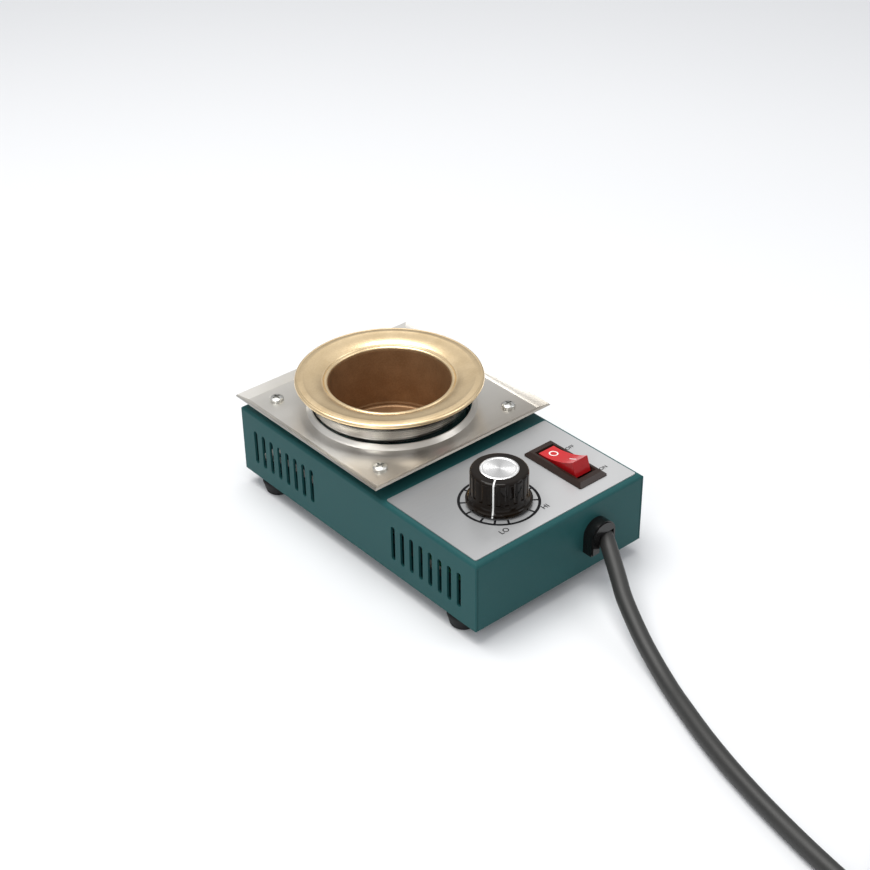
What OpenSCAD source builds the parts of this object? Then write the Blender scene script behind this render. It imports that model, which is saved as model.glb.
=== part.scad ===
// Bench solder pot: a folded steel housing with a heated crucible in a drip tray,
// a temperature dial, a rocker switch and a mains lead. Millimetres, +Z up,
// origin on the bench under the middle of the housing, front (lead side) towards -Y.

/* [Housing] */
// Outside width of the folded cover
cover_w = 87; // [84:0.5:100]
// Outside length of the folded cover
cover_l = 145; // [143:0.5:170]
// Height of the cover's walls
cover_h = 30.4; // [29.5:0.1:36]
// Sheet thickness of the cover
cover_sheet = 1; // [0.8:0.1:1.4]
// Outside radius of the cover's folded top edges
cover_fold_r = 1.6; // [1.5:0.1:3]
// Width of the lips folded in under the cover's long sides
lip_w = 11; // [10:0.5:12]
// Width of the open seam at each corner of the cover
seam_w = 0.25; // [0.1:0.05:0.5]
// Thickness of the base plate
base_sheet = 1; // [0.8:0.1:2]
// How far the base plate stays inside the cover's outline
base_inset = 1.5; // [0.5:0.1:3]

/* [Feet] */
// Height of the rubber feet
foot_h = 6; // [5:0.5:12]
// Diameter of a foot where it meets the base
foot_top_d = 13; // [11:0.5:16]
// Diameter of a foot on the bench
foot_d = 10.6; // [9.5:0.1:15]
// Distance from the cover's side to the middle of a foot
foot_in_x = 6.5; // [6.5:0.5:8]
// Distance from the cover's end to the middle of a foot
foot_in_y = 14; // [8:0.5:20]
// Thickness of rubber under the base that the screw head clamps
foot_web = 2.4; // [1.5:0.1:3]

/* [Vents] */
// Number of slots in each group
slot_count = 8; // [4:1:8]
// Width of a slot
slot_w = 2.3; // [1.5:0.1:3]
// Height of a slot
slot_h = 15.6; // [10:0.1:17]
// Distance from one slot to the next
slot_pitch = 5.38; // [4.5:0.01:5.5]
// Height of the slots' lower ends above the cover's edge
slot_sill = 6.6; // [5:0.1:10]
// Distance of each group's middle from the middle of the cover
slot_group_y = 44.3; // [35:0.1:46]

/* [Control panel] */
// Bare strip of cover at each side of the panel plate
panel_margin = 2; // [1.7:0.1:6]
// Bare strip of cover in front of the panel plate
panel_front = 2.4; // [1.7:0.1:6]
// Length of the panel plate from front to back
panel_l = 50.5; // [46:0.5:51]
// Thickness of the panel plate
panel_t = 0.4; // [0.2:0.1:0.8]

/* [Dial] */
// Distance of the dial's axis left of the centre line
dial_off_x = 10.2; // [8:0.1:14]
// Distance of the dial's axis from the front of the cover
dial_in_y = 24; // [22:0.1:26]
// Diameter of the knob's skirt
skirt_d = 25.6; // [22:0.1:28]
// Height of the skirt's straight rim
skirt_rim_h = 1.3; // [0.8:0.1:2]
// Diameter of the knob's body
knob_d = 22.4; // [20:0.1:24]
// Height of the knob
knob_h = 14.3; // [13:0.1:18]
// Radius of the rounding round the knob's top
knob_round = 1.3; // [0.6:0.1:2]
// Number of flutes round the knob
flute_count = 20; // [12:1:24]
// Radius of a flute
flute_r = 1.5; // [1:0.1:1.8]
// Depth of a flute
flute_depth = 0.35; // [0.2:0.05:0.6]
// Diameter of the metal cap on the knob
cap_d = 14.9; // [12:0.1:16]
// Thickness of the metal cap
cap_t = 0.8; // [0.5:0.1:1.2]
// Gap between the knob and the panel
knob_gap = 0.5; // [0.3:0.1:1.5]
// Diameter of the dial shaft
shaft_d = 6; // [5:0.1:6.35]
// Radial running clearance of the shaft in its bush
shaft_clear = 0.05; // [0.02:0.01:0.08]
// Diameter of the control's threaded bush
bush_d = 7.6; // [7.5:0.1:8.5]
// Length of the control's threaded bush above the cover
bush_l = 6.5; // [5.5:0.1:7]
// Diameter of the control's case
control_d = 17; // [15:0.5:20]
// Depth of the control's case
control_h = 9; // [7:0.5:10]
// Direction that the pointer faces, in degrees from +X
pointer_deg = 216; // [180:1:240]

/* [Switch] */
// Distance of the switch's middle right of the centre line
switch_x = 25; // [24:0.1:27]
// Distance of the switch's middle from the front of the cover
switch_in_y = 24.4; // [23:0.1:27]
// Length of the switch's frame
bezel_l = 31.4; // [30:0.1:32]
// Width of the switch's frame
bezel_w = 14.7; // [14:0.1:16]
// Height of the switch's frame above the panel
bezel_h = 2; // [1.5:0.1:2.5]
// Height of the frame's upright edge below its bevel
bezel_edge = 0.5; // [0.3:0.1:0.8]
// Length of the opening in the frame
well_l = 24; // [23:0.1:25]
// Width of the opening in the frame
well_w = 9.6; // [9:0.1:10]
// Length of the switch's body under the panel
switch_l = 27.6; // [27:0.1:28.5]
// Width of the switch's body under the panel
switch_w = 12.4; // [11.8:0.1:13]
// Depth of the switch's body under the panel
switch_d = 16.5; // [15:0.5:18]
// Length of the rocker's top from edge to edge
rocker_l = 18.9; // [17.5:0.1:19.5]
// Width of the rocker
rocker_w = 8; // [7:0.1:8.4]
// Height of the rocker's edges above its pivot
rocker_rise = 5.8; // [5:0.1:6]
// Depth of the hollow in the rocker's top
rocker_dish = 1.3; // [0.5:0.1:1.5]
// Tilt of the rocker to each side
rocker_tilt = 14.4; // [10:0.1:15]
// Depth of the pivot below the top of the frame
pivot_depth = 3.2; // [3:0.1:3.5]
// Diameter of the rocker's pivot pins
pivot_d = 2.4; // [2:0.1:3]
// Radial running clearance of the pivot pins
pivot_clear = 0.06; // [0.02:0.01:0.09]

/* [Drip tray] */
// Outside size of the square tray
tray_size = 91; // [88:0.5:96]
// Distance of the tray's middle behind the middle of the cover
tray_y = 27; // [26:0.1:28]
// Sheet thickness of the tray
tray_sheet = 0.8; // [0.5:0.1:1.2]
// Gap between the cover and the tray, filled by the spacers
tray_gap = 3.4; // [2:0.1:6]
// Width of the tray's raised edge, seen from above
tray_lip = 3.8; // [2:0.1:6]
// Angle of the raised edge
tray_lip_deg = 32; // [15:1:60]
// Diameter of the tray's hole
tray_hole_d = 65.6; // [65:0.1:67]
// Height of the collar drawn up round the hole
collar_h = 1.6; // [0.8:0.1:3]
// Width of the collar's slope, seen from above
collar_w = 2.2; // [1.5:0.1:3]
// Distance between the tray's screws
tray_screw_pitch = 67; // [64:0.5:68]
// Outside diameter of the spacers
spacer_d = 7; // [6:0.1:8]

/* [Crucible] */
// Distance of the crucible's axis left of the centre line
pot_off_x = 0.4; // [0:0.1:0.6]
// Distance of the crucible's axis behind the middle of the cover
pot_y = 27.6; // [26.8:0.1:27.8]
// Inside diameter of the bowl
bowl_d = 50; // [40:0.5:51]
// Depth of the bowl below its mouth
bowl_depth = 28; // [20:0.5:29]
// Wall thickness of the bowl
bowl_wall = 2; // [1.5:0.1:2.5]
// Thickness of the bowl's floor
floor_t = 3; // [2.5:0.1:4]
// Height of the bowl's mouth above the cover
mouth_h = 15.9; // [14:0.1:17]
// Outside diameter of the rim
rim_d = 76.8; // [74:0.1:80]
// Thickness of the rim's rounded edge
rim_t = 2; // [1.6:0.1:2.4]
// Height of the rim's crest above the bowl's mouth
rim_rise = 2.1; // [1:0.1:3]
// Depth of the turned line round the mouth
ring_line = 0.3; // [0.1:0.05:0.5]
// Width of the step round the floor of the bowl
floor_step = 1.3; // [0.8:0.1:2]
// Diameter of the boss under the bowl
boss_d = 14; // [12:0.5:18]
// Height of the boss
boss_h = 4.9; // [4:0.1:6]

/* [Heater] */
// Radial thickness of the mica heater band
heater_t = 1.4; // [1:0.1:2]
// Height of the heater band
heater_h = 22; // [18:0.5:23]
// Outside diameter of the steel shell's straight part
shell_d = 63.4; // [62:0.1:64]
// Sheet thickness of the shell
shell_sheet = 0.6; // [0.4:0.1:0.8]
// Diameter of the shell's flared mouth
shell_mouth_d = 74.2; // [72:0.1:75]
// Radius of the flare's curve
flare_r = 14; // [13:0.5:18]

/* [Support] */
// Distance between the outer faces of the bracket's legs
bracket_span = 41; // [36:0.5:43]
// Width of the bracket's strip
bracket_w = 18; // [14:0.5:22]
// Thickness of the bracket's strip
bracket_t = 1.2; // [1:0.1:1.5]
// Length of the bracket's feet
bracket_foot = 9; // [8:0.5:9.5]
// Diameter of the bolt that holds the crucible
pot_bolt_d = 6; // [5:1:8]

/* [Control board] */
// Width of the board across the housing
board_w = 44; // [42:0.5:45]
// Length of the board from front to back
board_l = 38; // [34:0.5:40]
// Thickness of the board
board_t = 1.6; // [1:0.1:2]
// Height of the posts under the board
post_h = 6; // [4:0.5:7]

/* [Screws] */
// Diameter of the small machine screws
screw_d = 3; // [2.5:0.5:3]
// Head diameter of the small machine screws
head_d = 5.8; // [5:0.1:6]
// Head height of the small machine screws
head_h = 1.9; // [1.5:0.1:2.2]
// Width across the flats of the small nuts
nut_af = 5.5; // [5:0.1:6]
// Height of the small nuts
nut_h = 2.4; // [2:0.1:2.6]
// Radial clearance of a screw in a plain hole
screw_clear = 0.2; // [0.1:0.05:0.4]

/* [Mains lead] */
// Diameter of the lead
cord_d = 6.4; // [6:0.1:7]
// Distance of the strain relief right of the centre line
gland_x = 17.6; // [16:0.1:18]
// Height of the strain relief's arch centre above the cover's edge
gland_z = 16.4; // [15:0.1:17]
// Width of the strain relief's head
gland_w = 12.6; // [12:0.1:14]
// Height of the head below its arch centre
gland_drop = 7.1; // [6:0.1:8]
// How far the head stands out of the cover
gland_out = 5; // [4:0.1:8]
// Number of turns that lie side by side in the coil
coil_wide = 3; // [2:1:4]
// Number of layers in the coil
coil_high = 2; // [1:1:3]

/* [Hidden] */
$fn = 96;
eps = 0.01;

// Levels
base_z = foot_h;
cover_z = base_z + base_sheet;
top_z = cover_z + cover_h;
panel_z = top_z + panel_t;
ceiling_z = top_z - cover_sheet;
front_y = -cover_l / 2;

// Dial
dial_x = -dial_off_x;
dial_y = front_y + dial_in_y;
knob_z = panel_z + knob_gap;
knob_top = knob_z + knob_h;
washer_t = 0.5;
dial_nut_h = 2;
dial_nut_af = 10;
knob_hollow_r = dial_nut_af / 2 / cos(30) + 1.2;
knob_hollow_z = top_z + bush_l + 0.8;
insert_r = 4.6;
insert_h = 7;
shaft_top = knob_hollow_z + insert_h - 0.5;
grub_z = knob_hollow_z + 2.6;

// Switch
switch_y = front_y + switch_in_y;
bezel_z = panel_z + bezel_h;
pivot_z = bezel_z - pivot_depth;
bezel_bevel = bezel_h - bezel_edge;
well_depth = rocker_rise + 5.6;
skirt_drop = 3.6;
rocker_end = rocker_l / 2 + 0.65;
pin_l = 1.2;
blade_w = 6.3;
blade_l = 7.5;
blade_t = 0.8;
blade_pitch = 7;
lamp_d = 3.4;

// Tray
tray_z = top_z + tray_gap + tray_sheet;
tray_bend = tray_size / 2 - tray_lip;
lip_len = (tray_lip - tray_sheet * sin(tray_lip_deg)) / cos(tray_lip_deg);
tray_hole_r = tray_hole_d / 2;

// Crucible
pot_x = -pot_off_x;
bowl_r = bowl_d / 2;
mouth_z = top_z + mouth_h;
crest_z = mouth_z + rim_rise;
floor_z = mouth_z - bowl_depth;
pot_base_z = floor_z - floor_t;
pot_wall_r = bowl_r + bowl_wall;
rim_r = rim_d / 2;
rim_drop = 0.1;
boss_z = pot_base_z - boss_h;

// Shell and heater
shell_r = shell_d / 2;
shell_in_r = shell_r - shell_sheet;
shell_z = boss_z - shell_sheet;
shell_top_z = crest_z - rim_drop - rim_t;
flare_deg = acos(1 - (shell_mouth_d / 2 - shell_r) / flare_r);
flare_z = shell_top_z - flare_r * sin(flare_deg);
heater_z = pot_base_z + 3;
heater_r = pot_wall_r + heater_t;

// Support
bracket_z = shell_z - bracket_t;
bracket_bend = 1.2;
bolt_r = pot_bolt_d / 2;
bolt_head_h = 3.6;
bolt_af = pot_bolt_d * 10 / 6;
bolt_washer_t = 1;
bracket_hole_x = bracket_span / 2 + bracket_foot / 2 + 0.3;

// Board
board_x = dial_x;
board_y = dial_y + 1.5;
board_z = cover_z + post_h;
board_top = board_z + board_t;
post_in = 4.5;
block_x = 21;
block_y = switch_y + switch_l / 2 + 15;
block_w = 20;
block_l = 12;
block_h = 10;
block_pitch = 9;
earth_x = 4;
earth_y = block_y + 2;

// Strain relief
gland_cz = cover_z + gland_z;
gland_r = gland_w / 2;
gland_neck_r = gland_r - 1.1;
gland_in = 5;
mouth_off_x = 1.3;
mouth_w = cord_d + 1;
mouth_top = 1.4;
mouth_deep = 2.6;

// Fasteners
screw_r = screw_d / 2;
hole_r = screw_r + screw_clear;

// Heater leads, as they leave the shell
lead_r = 1.3;
lead_z = boss_z + 7;
lead_degs = [150, 322];
// Heat sink and triac on the board
sink_x = board_x - 1;
sink_y = board_y + board_l / 2 - 6.5;
sink_w = 26;
sink_h = 13;
triac_y = sink_y - 4.9;
// Wires, the lowest point of the switch blades, and where the lead ends inside
wire_r = 0.9;
blade_foot_z = panel_z - switch_d - blade_l + 2.5;
gland_end_y = front_y + cover_sheet + gland_in;

// Route of the mains lead: out of the strain relief, down to the bench and on to the coil
cord_route = [
    [20.2, -75, 22], [17.3, -80.6, 19.8], [13.9, -86.6, 17.4], [10.5, -92.5, 15],
    [7, -98.4, 12.7], [4, -104.7, 10.5], [1.1, -111.2, 8.5], [-1.7, -117.8, 6.7],
    [-4.4, -124.8, 5.1], [-7.1, -131.9, 3.8], [-10, -139.2, 3.2], [-13, -146.8, 3.2],
    [-18.6, -161.8, 3.2], [-23.4, -177, 3.2], [-27.4, -192.4, 3.2], [-30.8, -208, 3.2],
    [-33.6, -223.6, 3.2], [-35.8, -239.4, 3.2], [-37.2, -255.2, 3.2], [-37.6, -269, 3.2],
    [-37.6, -282, 3.2]];
// Middle of the coil, which the lead joins at its outer turn and leaves at its front
coil_mid_r = 5.5 * cord_d;
coil_x = 4;
coil_y = -282;
// Short end of the lead, from the coil's upper layer to the plug
tail_route = [
    [4, -323.6, 9.6], [9, -323.6, 9.5], [14, -323.6, 9.1], [19, -323.6, 8.4], [24, -323.6, 7.7],
    [30, -323.6, 7.5]];
plug_at = [30, -323.6, 7.5];
plug_l = 30;
plug_w = 24;
plug_t = 15;
boot_l = 18;

// Points of an arc from angle a to angle b
function arc(cx, cy, r, a, b, n = 8) =
    [for (i = [0 : n]) [cx + r * cos(a + (b - a) * i / n), cy + r * sin(a + (b - a) * i / n)]];

function unit(v) = v / norm(v);

// Rings of a tube of radius r that follows the points of route
function tube_rings(route, r, sides, ref) =
    [for (i = [0 : len(route) - 1])
        let (
            ahead = route[min(i + 1, len(route) - 1)],
            behind = route[max(i - 1, 0)],
            along = unit(ahead - behind),
            side = unit(cross(along, ref)),
            up = cross(side, along))
        for (k = [0 : sides - 1])
            route[i] + r * (cos(360 * k / sides) * side + sin(360 * k / sides) * up)];

// A closed tube along a route
module tube(route, r, sides = 8, ref = [0.1, 0.2, 1]) {
    last = len(route) - 1;
    faces = concat(
        [[for (k = [0 : sides - 1]) k]],
        [[for (k = [0 : sides - 1]) last * sides + sides - 1 - k]],
        [for (i = [0 : last - 1]) for (k = [0 : sides - 1])
            [i * sides + k, (i + 1) * sides + k, (i + 1) * sides + (k + 1) % sides,
                i * sides + (k + 1) % sides]]);
    polyhedron(tube_rings(route, r, sides, ref), faces, convexity = 6);
}

// A rectangle with rounded corners
module round_rect(w, l, r) {
    square([w - 2 * r, l], center = true);
    square([w, l - 2 * r], center = true);
    for (x = [-1, 1], y = [-1, 1]) translate([x * (w / 2 - r), y * (l / 2 - r)]) circle(r);
}

// A straight-sided slot with round ends, standing along Y
module slot_shape(w, l) {
    square([w, l - w], center = true);
    for (s = [-1, 1]) translate([0, s * (l - w) / 2]) circle(w / 2);
}

// A box open below whose top edges are folded to radius r
module folded_box(w, l, h, r) {
    intersection() {
        linear_extrude(h) round_rect(w, l, min(r, 0.4));
        translate([0, l / 2, 0]) rotate([90, 0, 0]) linear_extrude(l) folded_section(w, h, r);
        translate([-w / 2, 0, 0]) rotate([90, 0, 90]) linear_extrude(w) folded_section(l, h, r);
    }
}

module folded_section(w, h, r) {
    polygon(concat([[-w / 2, 0], [w / 2, 0]],
        arc(w / 2 - r, h - r, r, 0, 90), arc(r - w / 2, h - r, r, 90, 180)));
}

module ring(outer_r, inner_r, h) {
    difference() {
        cylinder(r = outer_r, h = h);
        translate([0, 0, -eps]) cylinder(r = inner_r, h = h + 2 * eps);
    }
}

// A pan head screw that hangs from the underside of its head at z = 0
module pan_screw(l) {
    dome = head_h * 0.55;
    translate([0, 0, -l]) cylinder(r = screw_r, h = l + head_h / 2);
    difference() {
        rotate_extrude() polygon(concat([[0, 0], [head_d / 2, 0]],
            [for (i = [0 : 6]) [head_d / 2 * cos(15 * i), head_h - dome + dome * sin(15 * i)]]));
        for (a = [0, 90]) rotate(a)
            translate([-head_d * 0.3, -head_d * 0.07, head_h * 0.4])
                cube([head_d * 0.6, head_d * 0.14, head_h]);
    }
}

module hex_nut(af, h, bore_r) {
    difference() {
        cylinder(r = af / 2 / cos(30), h = h, $fn = 6);
        translate([0, 0, -eps]) cylinder(r = bore_r, h = h + 2 * eps);
    }
}

module at_feet() {
    for (x = [-1, 1], y = [-1, 1])
        translate([x * (cover_w / 2 - foot_in_x), y * (cover_l / 2 - foot_in_y), 0]) children();
}

module at_tray_screws() {
    for (x = [-1, 1], y = [-1, 1])
        translate([x * tray_screw_pitch / 2, tray_y + y * tray_screw_pitch / 2, 0]) children();
}

module at_bracket_holes() {
    for (s = [-1, 1]) translate([pot_x + s * bracket_hole_x, pot_y, 0]) children();
}

module at_posts() {
    for (x = [-1, 1], y = [-1, 1])
        translate([board_x + x * (board_w / 2 - post_in), board_y + y * (board_l / 2 - post_in), 0])
            children();
}

module at_dial() { translate([dial_x, dial_y, 0]) children(); }

module at_pot() { translate([pot_x, pot_y, 0]) children(); }

module at_switch() { translate([switch_x, switch_y, 0]) children(); }

// Folded teal cover with return lips, vents, and its openings for pot, dial, switch and lead
module cover() {
    inner_r = cover_fold_r - cover_sheet;
    color("#2c5254") translate([0, 0, cover_z]) difference() {
        union() {
            difference() {
                folded_box(cover_w, cover_l, cover_h, cover_fold_r);
                translate([0, 0, -eps]) folded_box(cover_w - 2 * cover_sheet,
                    cover_l - 2 * cover_sheet, cover_h - cover_sheet + eps, inner_r);
            }
            for (s = [-1, 1]) translate([s * (cover_w - lip_w - cover_sheet) / 2, 0, cover_sheet / 2])
                cube([lip_w, cover_l - 2 * cover_sheet - 3, cover_sheet], center = true);
        }
        for (side = [-1, 1], group = [-1, 1], i = [0 : slot_count - 1])
            translate([side * (cover_w - cover_sheet) / 2,
                group * slot_group_y + (i - (slot_count - 1) / 2) * slot_pitch,
                slot_sill + slot_h / 2])
                rotate([90, 0, 90]) translate([0, 0, -cover_sheet]) linear_extrude(2 * cover_sheet)
                    slot_shape(slot_w, slot_h);
        for (x = [-1, 1], y = [-1, 1])
            translate([x * (cover_w / 2 - cover_sheet), y * cover_l / 2, (cover_h - cover_fold_r) / 2])
                cube([seam_w, cover_sheet, cover_h - cover_fold_r + eps], center = true);
        translate([0, 0, -cover_z]) {
            at_feet() translate([0, 0, cover_z - eps]) cylinder(r = screw_r, h = cover_sheet + 2 * eps);
            at_tray_screws() translate([0, 0, ceiling_z - eps])
                cylinder(r = hole_r, h = cover_sheet + 2 * eps);
            translate([pot_x, pot_y, ceiling_z - eps])
                cylinder(r = tray_hole_r + 1, h = cover_sheet + 2 * eps);
            translate([dial_x, dial_y, ceiling_z - eps])
                cylinder(r = bush_d / 2 + screw_clear, h = cover_sheet + 2 * eps);
            translate([switch_x, switch_y, ceiling_z + cover_sheet / 2])
                cube([switch_w + 0.3, switch_l + 0.3, cover_sheet + 2 * eps], center = true);
            translate([gland_x, front_y + cover_sheet + eps, gland_cz]) rotate([90, 0, 0])
                cylinder(r = gland_neck_r, h = cover_sheet + 2 * eps);
        }
    }
}

// Flat base plate that closes the cover from below
module base_plate() {
    color("#39464a") difference() {
        translate([0, 0, base_z]) linear_extrude(base_sheet)
            round_rect(cover_w - 2 * base_inset, cover_l - 2 * base_inset, 2);
        translate([0, 0, base_z - eps]) {
            at_feet() cylinder(r = hole_r, h = base_sheet + 2 * eps);
            at_bracket_holes() cylinder(r = hole_r, h = base_sheet + 2 * eps);
            at_posts() cylinder(r = hole_r, h = base_sheet + 2 * eps);
            translate([earth_x, earth_y, 0]) cylinder(r = screw_r, h = base_sheet + 2 * eps);
        }
    }
}

// Tapered rubber foot with a recess for its screw head
module foot() {
    recess_r = head_d / 2 + 0.6;
    color("#161616") rotate_extrude() polygon(concat(
        [[hole_r, foot_h], [hole_r, foot_h - foot_web], [recess_r, foot_h - foot_web],
            [recess_r, 0], [foot_d / 2 - 0.5, 0], [foot_d / 2, 0.5]],
        arc(foot_top_d / 2 - 1, foot_h - 1, 1, 0, 90)));
}

module place_foot(x, y) {
    translate([x * (cover_w / 2 - foot_in_x), y * (cover_l / 2 - foot_in_y), 0]) foot();
}

module foot_front_left() { place_foot(-1, -1); }
module foot_front_right() { place_foot(1, -1); }
module foot_rear_left() { place_foot(-1, 1); }
module foot_rear_right() { place_foot(1, 1); }

module foot_screws() {
    color("silver") at_feet() translate([0, 0, foot_h - foot_web]) mirror([0, 0, 1])
        pan_screw(foot_web + base_sheet + cover_sheet + 2);
}

// Thin metal plate that carries the dial marks
module control_panel() {
    w = cover_w - 2 * panel_margin;
    color("#b9babb") translate([0, front_y + panel_front + panel_l / 2, top_z]) difference() {
        linear_extrude(panel_t) round_rect(w, panel_l, 0.8);
        translate([0, -front_y - panel_front - panel_l / 2, -top_z]) {
            translate([dial_x, dial_y, top_z - eps])
                cylinder(r = bush_d / 2 + screw_clear, h = panel_t + 2 * eps);
            translate([switch_x, switch_y, top_z + panel_t / 2])
                cube([switch_w + 0.3, switch_l + 0.3, panel_t + 2 * eps], center = true);
        }
    }
}

// One side of the tray's raised edge, cut to its mitres
module tray_side() {
    c = cos(tray_lip_deg);
    s = sin(tray_lip_deg);
    far = tray_size;
    intersection() {
        rotate([90, 0, 90]) translate([0, 0, -tray_size]) linear_extrude(2 * tray_size)
            polygon([[0, -tray_sheet], [tray_bend, -tray_sheet],
                [tray_bend + tray_sheet * s + lip_len * c, lip_len * s - tray_sheet * c],
                [tray_bend + lip_len * c, lip_len * s], [tray_bend, 0], [0, 0]]);
        translate([0, 0, -tray_size]) linear_extrude(2 * tray_size)
            polygon([[0, 0], [far, far], [-far, far]]);
    }
}

// Square stainless tray: mitred raised edge, and a collar drawn up round the hole
module drip_tray() {
    r = tray_hole_r;
    color("#c9c6c0") translate([0, tray_y, tray_z]) difference() {
        union() {
            difference() {
                for (a = [0 : 90 : 270]) rotate(a) tray_side();
                translate([0, 0, -tray_sheet - eps])
                    cylinder(r = r + collar_w - eps, h = tray_sheet + 2 * eps);
            }
            rotate_extrude() polygon([[r + collar_w, 0], [r + 0.5, collar_h], [r, collar_h],
                [r, collar_h - tray_sheet], [r + collar_w - tray_sheet * 0.6, -tray_sheet],
                [r + collar_w + 1, -tray_sheet], [r + collar_w + 1, 0]]);
        }
        translate([0, -tray_y, -tray_sheet - eps]) at_tray_screws()
            cylinder(r = hole_r, h = tray_sheet + 2 * eps);
    }
}

module tray_screws() {
    color("gainsboro") at_tray_screws() translate([0, 0, tray_z])
        pan_screw(tray_sheet + tray_gap + cover_sheet + nut_h + 1);
}

module tray_spacers() {
    color("silver") at_tray_screws() translate([0, 0, top_z]) ring(spacer_d / 2, hole_r, tray_gap);
}

module tray_nuts() {
    color("silver") at_tray_screws() translate([0, 0, ceiling_z - nut_h])
        hex_nut(nut_af, nut_h, screw_r);
}

// Cast crucible: rounded dished rim, turned line at the mouth, stepped floor, boss below
module crucible() {
    edge = rim_t / 2;
    crest_r = rim_r - 3.4;
    line_r = bowl_r + 1.7;
    ledge_z = floor_z + 1.5;
    root_r = 3;
    color("#c9a66b") at_pot() difference() {
        rotate_extrude() polygon(concat(
            [[0, floor_z + 0.5], [bowl_r - 3.6, floor_z + 0.5], [bowl_r - 3.8, floor_z],
                [bowl_r - floor_step - 1, floor_z]],
            arc(bowl_r - floor_step - 1, floor_z + 1, 1, -90, 0, 4),
            [[bowl_r - floor_step, ledge_z], [bowl_r, ledge_z], [bowl_r, mouth_z - 0.8]],
            arc(bowl_r + 0.9, mouth_z - 0.8, 0.9, 180, 100, 5),
            [[line_r - 0.35, mouth_z + 0.1], [line_r, mouth_z + 0.1 - ring_line],
                [line_r + 0.35, mouth_z + 0.15]],
            [for (i = [0 : 10]) let (t = i / 10) [line_r + 0.8 + (crest_r - line_r - 0.8) * t,
                mouth_z + 0.25 + (rim_rise - 0.25) * (t + 0.35 * sin(180 * t) * (1 - t))]],
            arc(crest_r, crest_z - 9, 9, 88, 76, 3),
            arc(rim_r - edge, shell_top_z + edge, edge, 75, -90, 8),
            [[shell_mouth_d / 2 - 2.2, shell_top_z]],
            arc(pot_wall_r + root_r, shell_top_z - root_r - 1.2, root_r, 90, 180, 6),
            [[pot_wall_r, pot_base_z + 2]],
            arc(pot_wall_r - 2, pot_base_z + 2, 2, 0, -90, 5),
            [[boss_d / 2, pot_base_z], [boss_d / 2, boss_z], [0, boss_z]]));
        translate([0, 0, boss_z - eps]) cylinder(r = bolt_r, h = boss_h + 1);
    }
}

// Spun stainless shell round the heater, flared out under the rim
module pot_shell() {
    r = flare_r;
    color("#d4d2cf") at_pot() difference() {
        rotate_extrude() polygon(concat(
            [[0, shell_z]],
            arc(shell_r - 2, shell_z + 2, 2, -90, 0, 5),
            [for (i = [0 : 10]) let (a = flare_deg * i / 10)
                [shell_r + r * (1 - cos(a)), flare_z + r * sin(a)]],
            [for (i = [10 : -1 : 0]) let (a = flare_deg * i / 10, q = r + shell_sheet)
                [shell_r + r - q * cos(a), min(flare_z + q * sin(a), shell_top_z)]],
            arc(shell_in_r - 1.4, boss_z + 1.4, 1.4, 0, -90, 5),
            [[0, boss_z]]));
        translate([0, 0, shell_z - eps]) cylinder(r = bolt_r + screw_clear, h = shell_sheet + 2 * eps);
        for (a = lead_degs) rotate(a) translate([shell_in_r - 1, 0, lead_z]) rotate([0, 90, 0])
            cylinder(r = lead_r + 0.3, h = shell_sheet + 2);
    }
}

module heater_band() {
    color("#8d8577") at_pot() translate([0, 0, heater_z]) difference() {
        ring(heater_r, pot_wall_r, heater_h);
        rotate(75) translate([0, -1, -eps]) cube([heater_r + 1, 2, heater_h + 2 * eps]);
    }
}

module heat_wrap() {
    color("#e8e4d8") at_pot() translate([0, 0, boss_z + 2.6])
        ring(shell_in_r, heater_r, heater_z + heater_h - boss_z - 2.6);
}

module pot_insulator() {
    color("#efe9db") at_pot() translate([0, 0, boss_z]) ring(boss_d / 2 + 10, boss_d / 2 + 0.3, boss_h);
}

// Folded strip that carries the pot over the base plate
module pot_bracket() {
    h = bracket_z + bracket_t - cover_z;
    half = bracket_span / 2;
    t = bracket_t;
    b = bracket_bend;
    tip = half + bracket_foot;
    color("#9aa0a3") at_pot() difference() {
        translate([0, bracket_w / 2, cover_z]) rotate([90, 0, 0]) linear_extrude(bracket_w)
            polygon(concat(
                arc(half - t - b, h - t - b, b, 0, 90, 5), arc(-half + t + b, h - t - b, b, 90, 180, 5),
                [for (p = arc(-half - b, b, b, 0, -90, 5)) [p[0] + t, p[1]]],
                [[-tip, 0], [-tip, t]],
                arc(-half - b, t + b, b, -90, 0, 5),
                arc(-half + b + t, h - b - t, b + t, 180, 90, 5),
                arc(half - b - t, h - b - t, b + t, 90, 0, 5),
                arc(half + b, t + b, b, 180, 270, 5),
                [[tip, t], [tip, 0]],
                [for (p = arc(half + b, b, b, 270, 180, 5)) [p[0] - t, p[1]]]));
        translate([0, 0, bracket_z - eps]) cylinder(r = bolt_r + screw_clear, h = t + 2 * eps);
        for (s = [-1, 1]) translate([s * bracket_hole_x, 0, cover_z - eps])
            cylinder(r = hole_r, h = t + 2 * eps);
    }
}

module pot_bolt() {
    color("silver") at_pot() {
        translate([0, 0, bracket_z - bolt_washer_t - bolt_head_h])
            cylinder(r = bolt_af / 2 / cos(30), h = bolt_head_h, $fn = 6);
        translate([0, 0, bracket_z - bolt_washer_t - 1])
            cylinder(r = bolt_r, h = 1 + bolt_washer_t + bracket_t + shell_sheet + boss_h);
    }
}

module pot_washer() {
    color("silver") at_pot() translate([0, 0, bracket_z - bolt_washer_t])
        ring(bolt_r * 2, bolt_r + screw_clear, bolt_washer_t);
}

module bracket_screws() {
    color("silver") at_bracket_holes() translate([0, 0, base_z]) mirror([0, 0, 1])
        pan_screw(base_sheet + bracket_t + nut_h + 1);
}

module bracket_nuts() {
    color("silver") at_bracket_holes() translate([0, 0, cover_z + bracket_t])
        hex_nut(nut_af, nut_h, screw_r);
}

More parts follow.
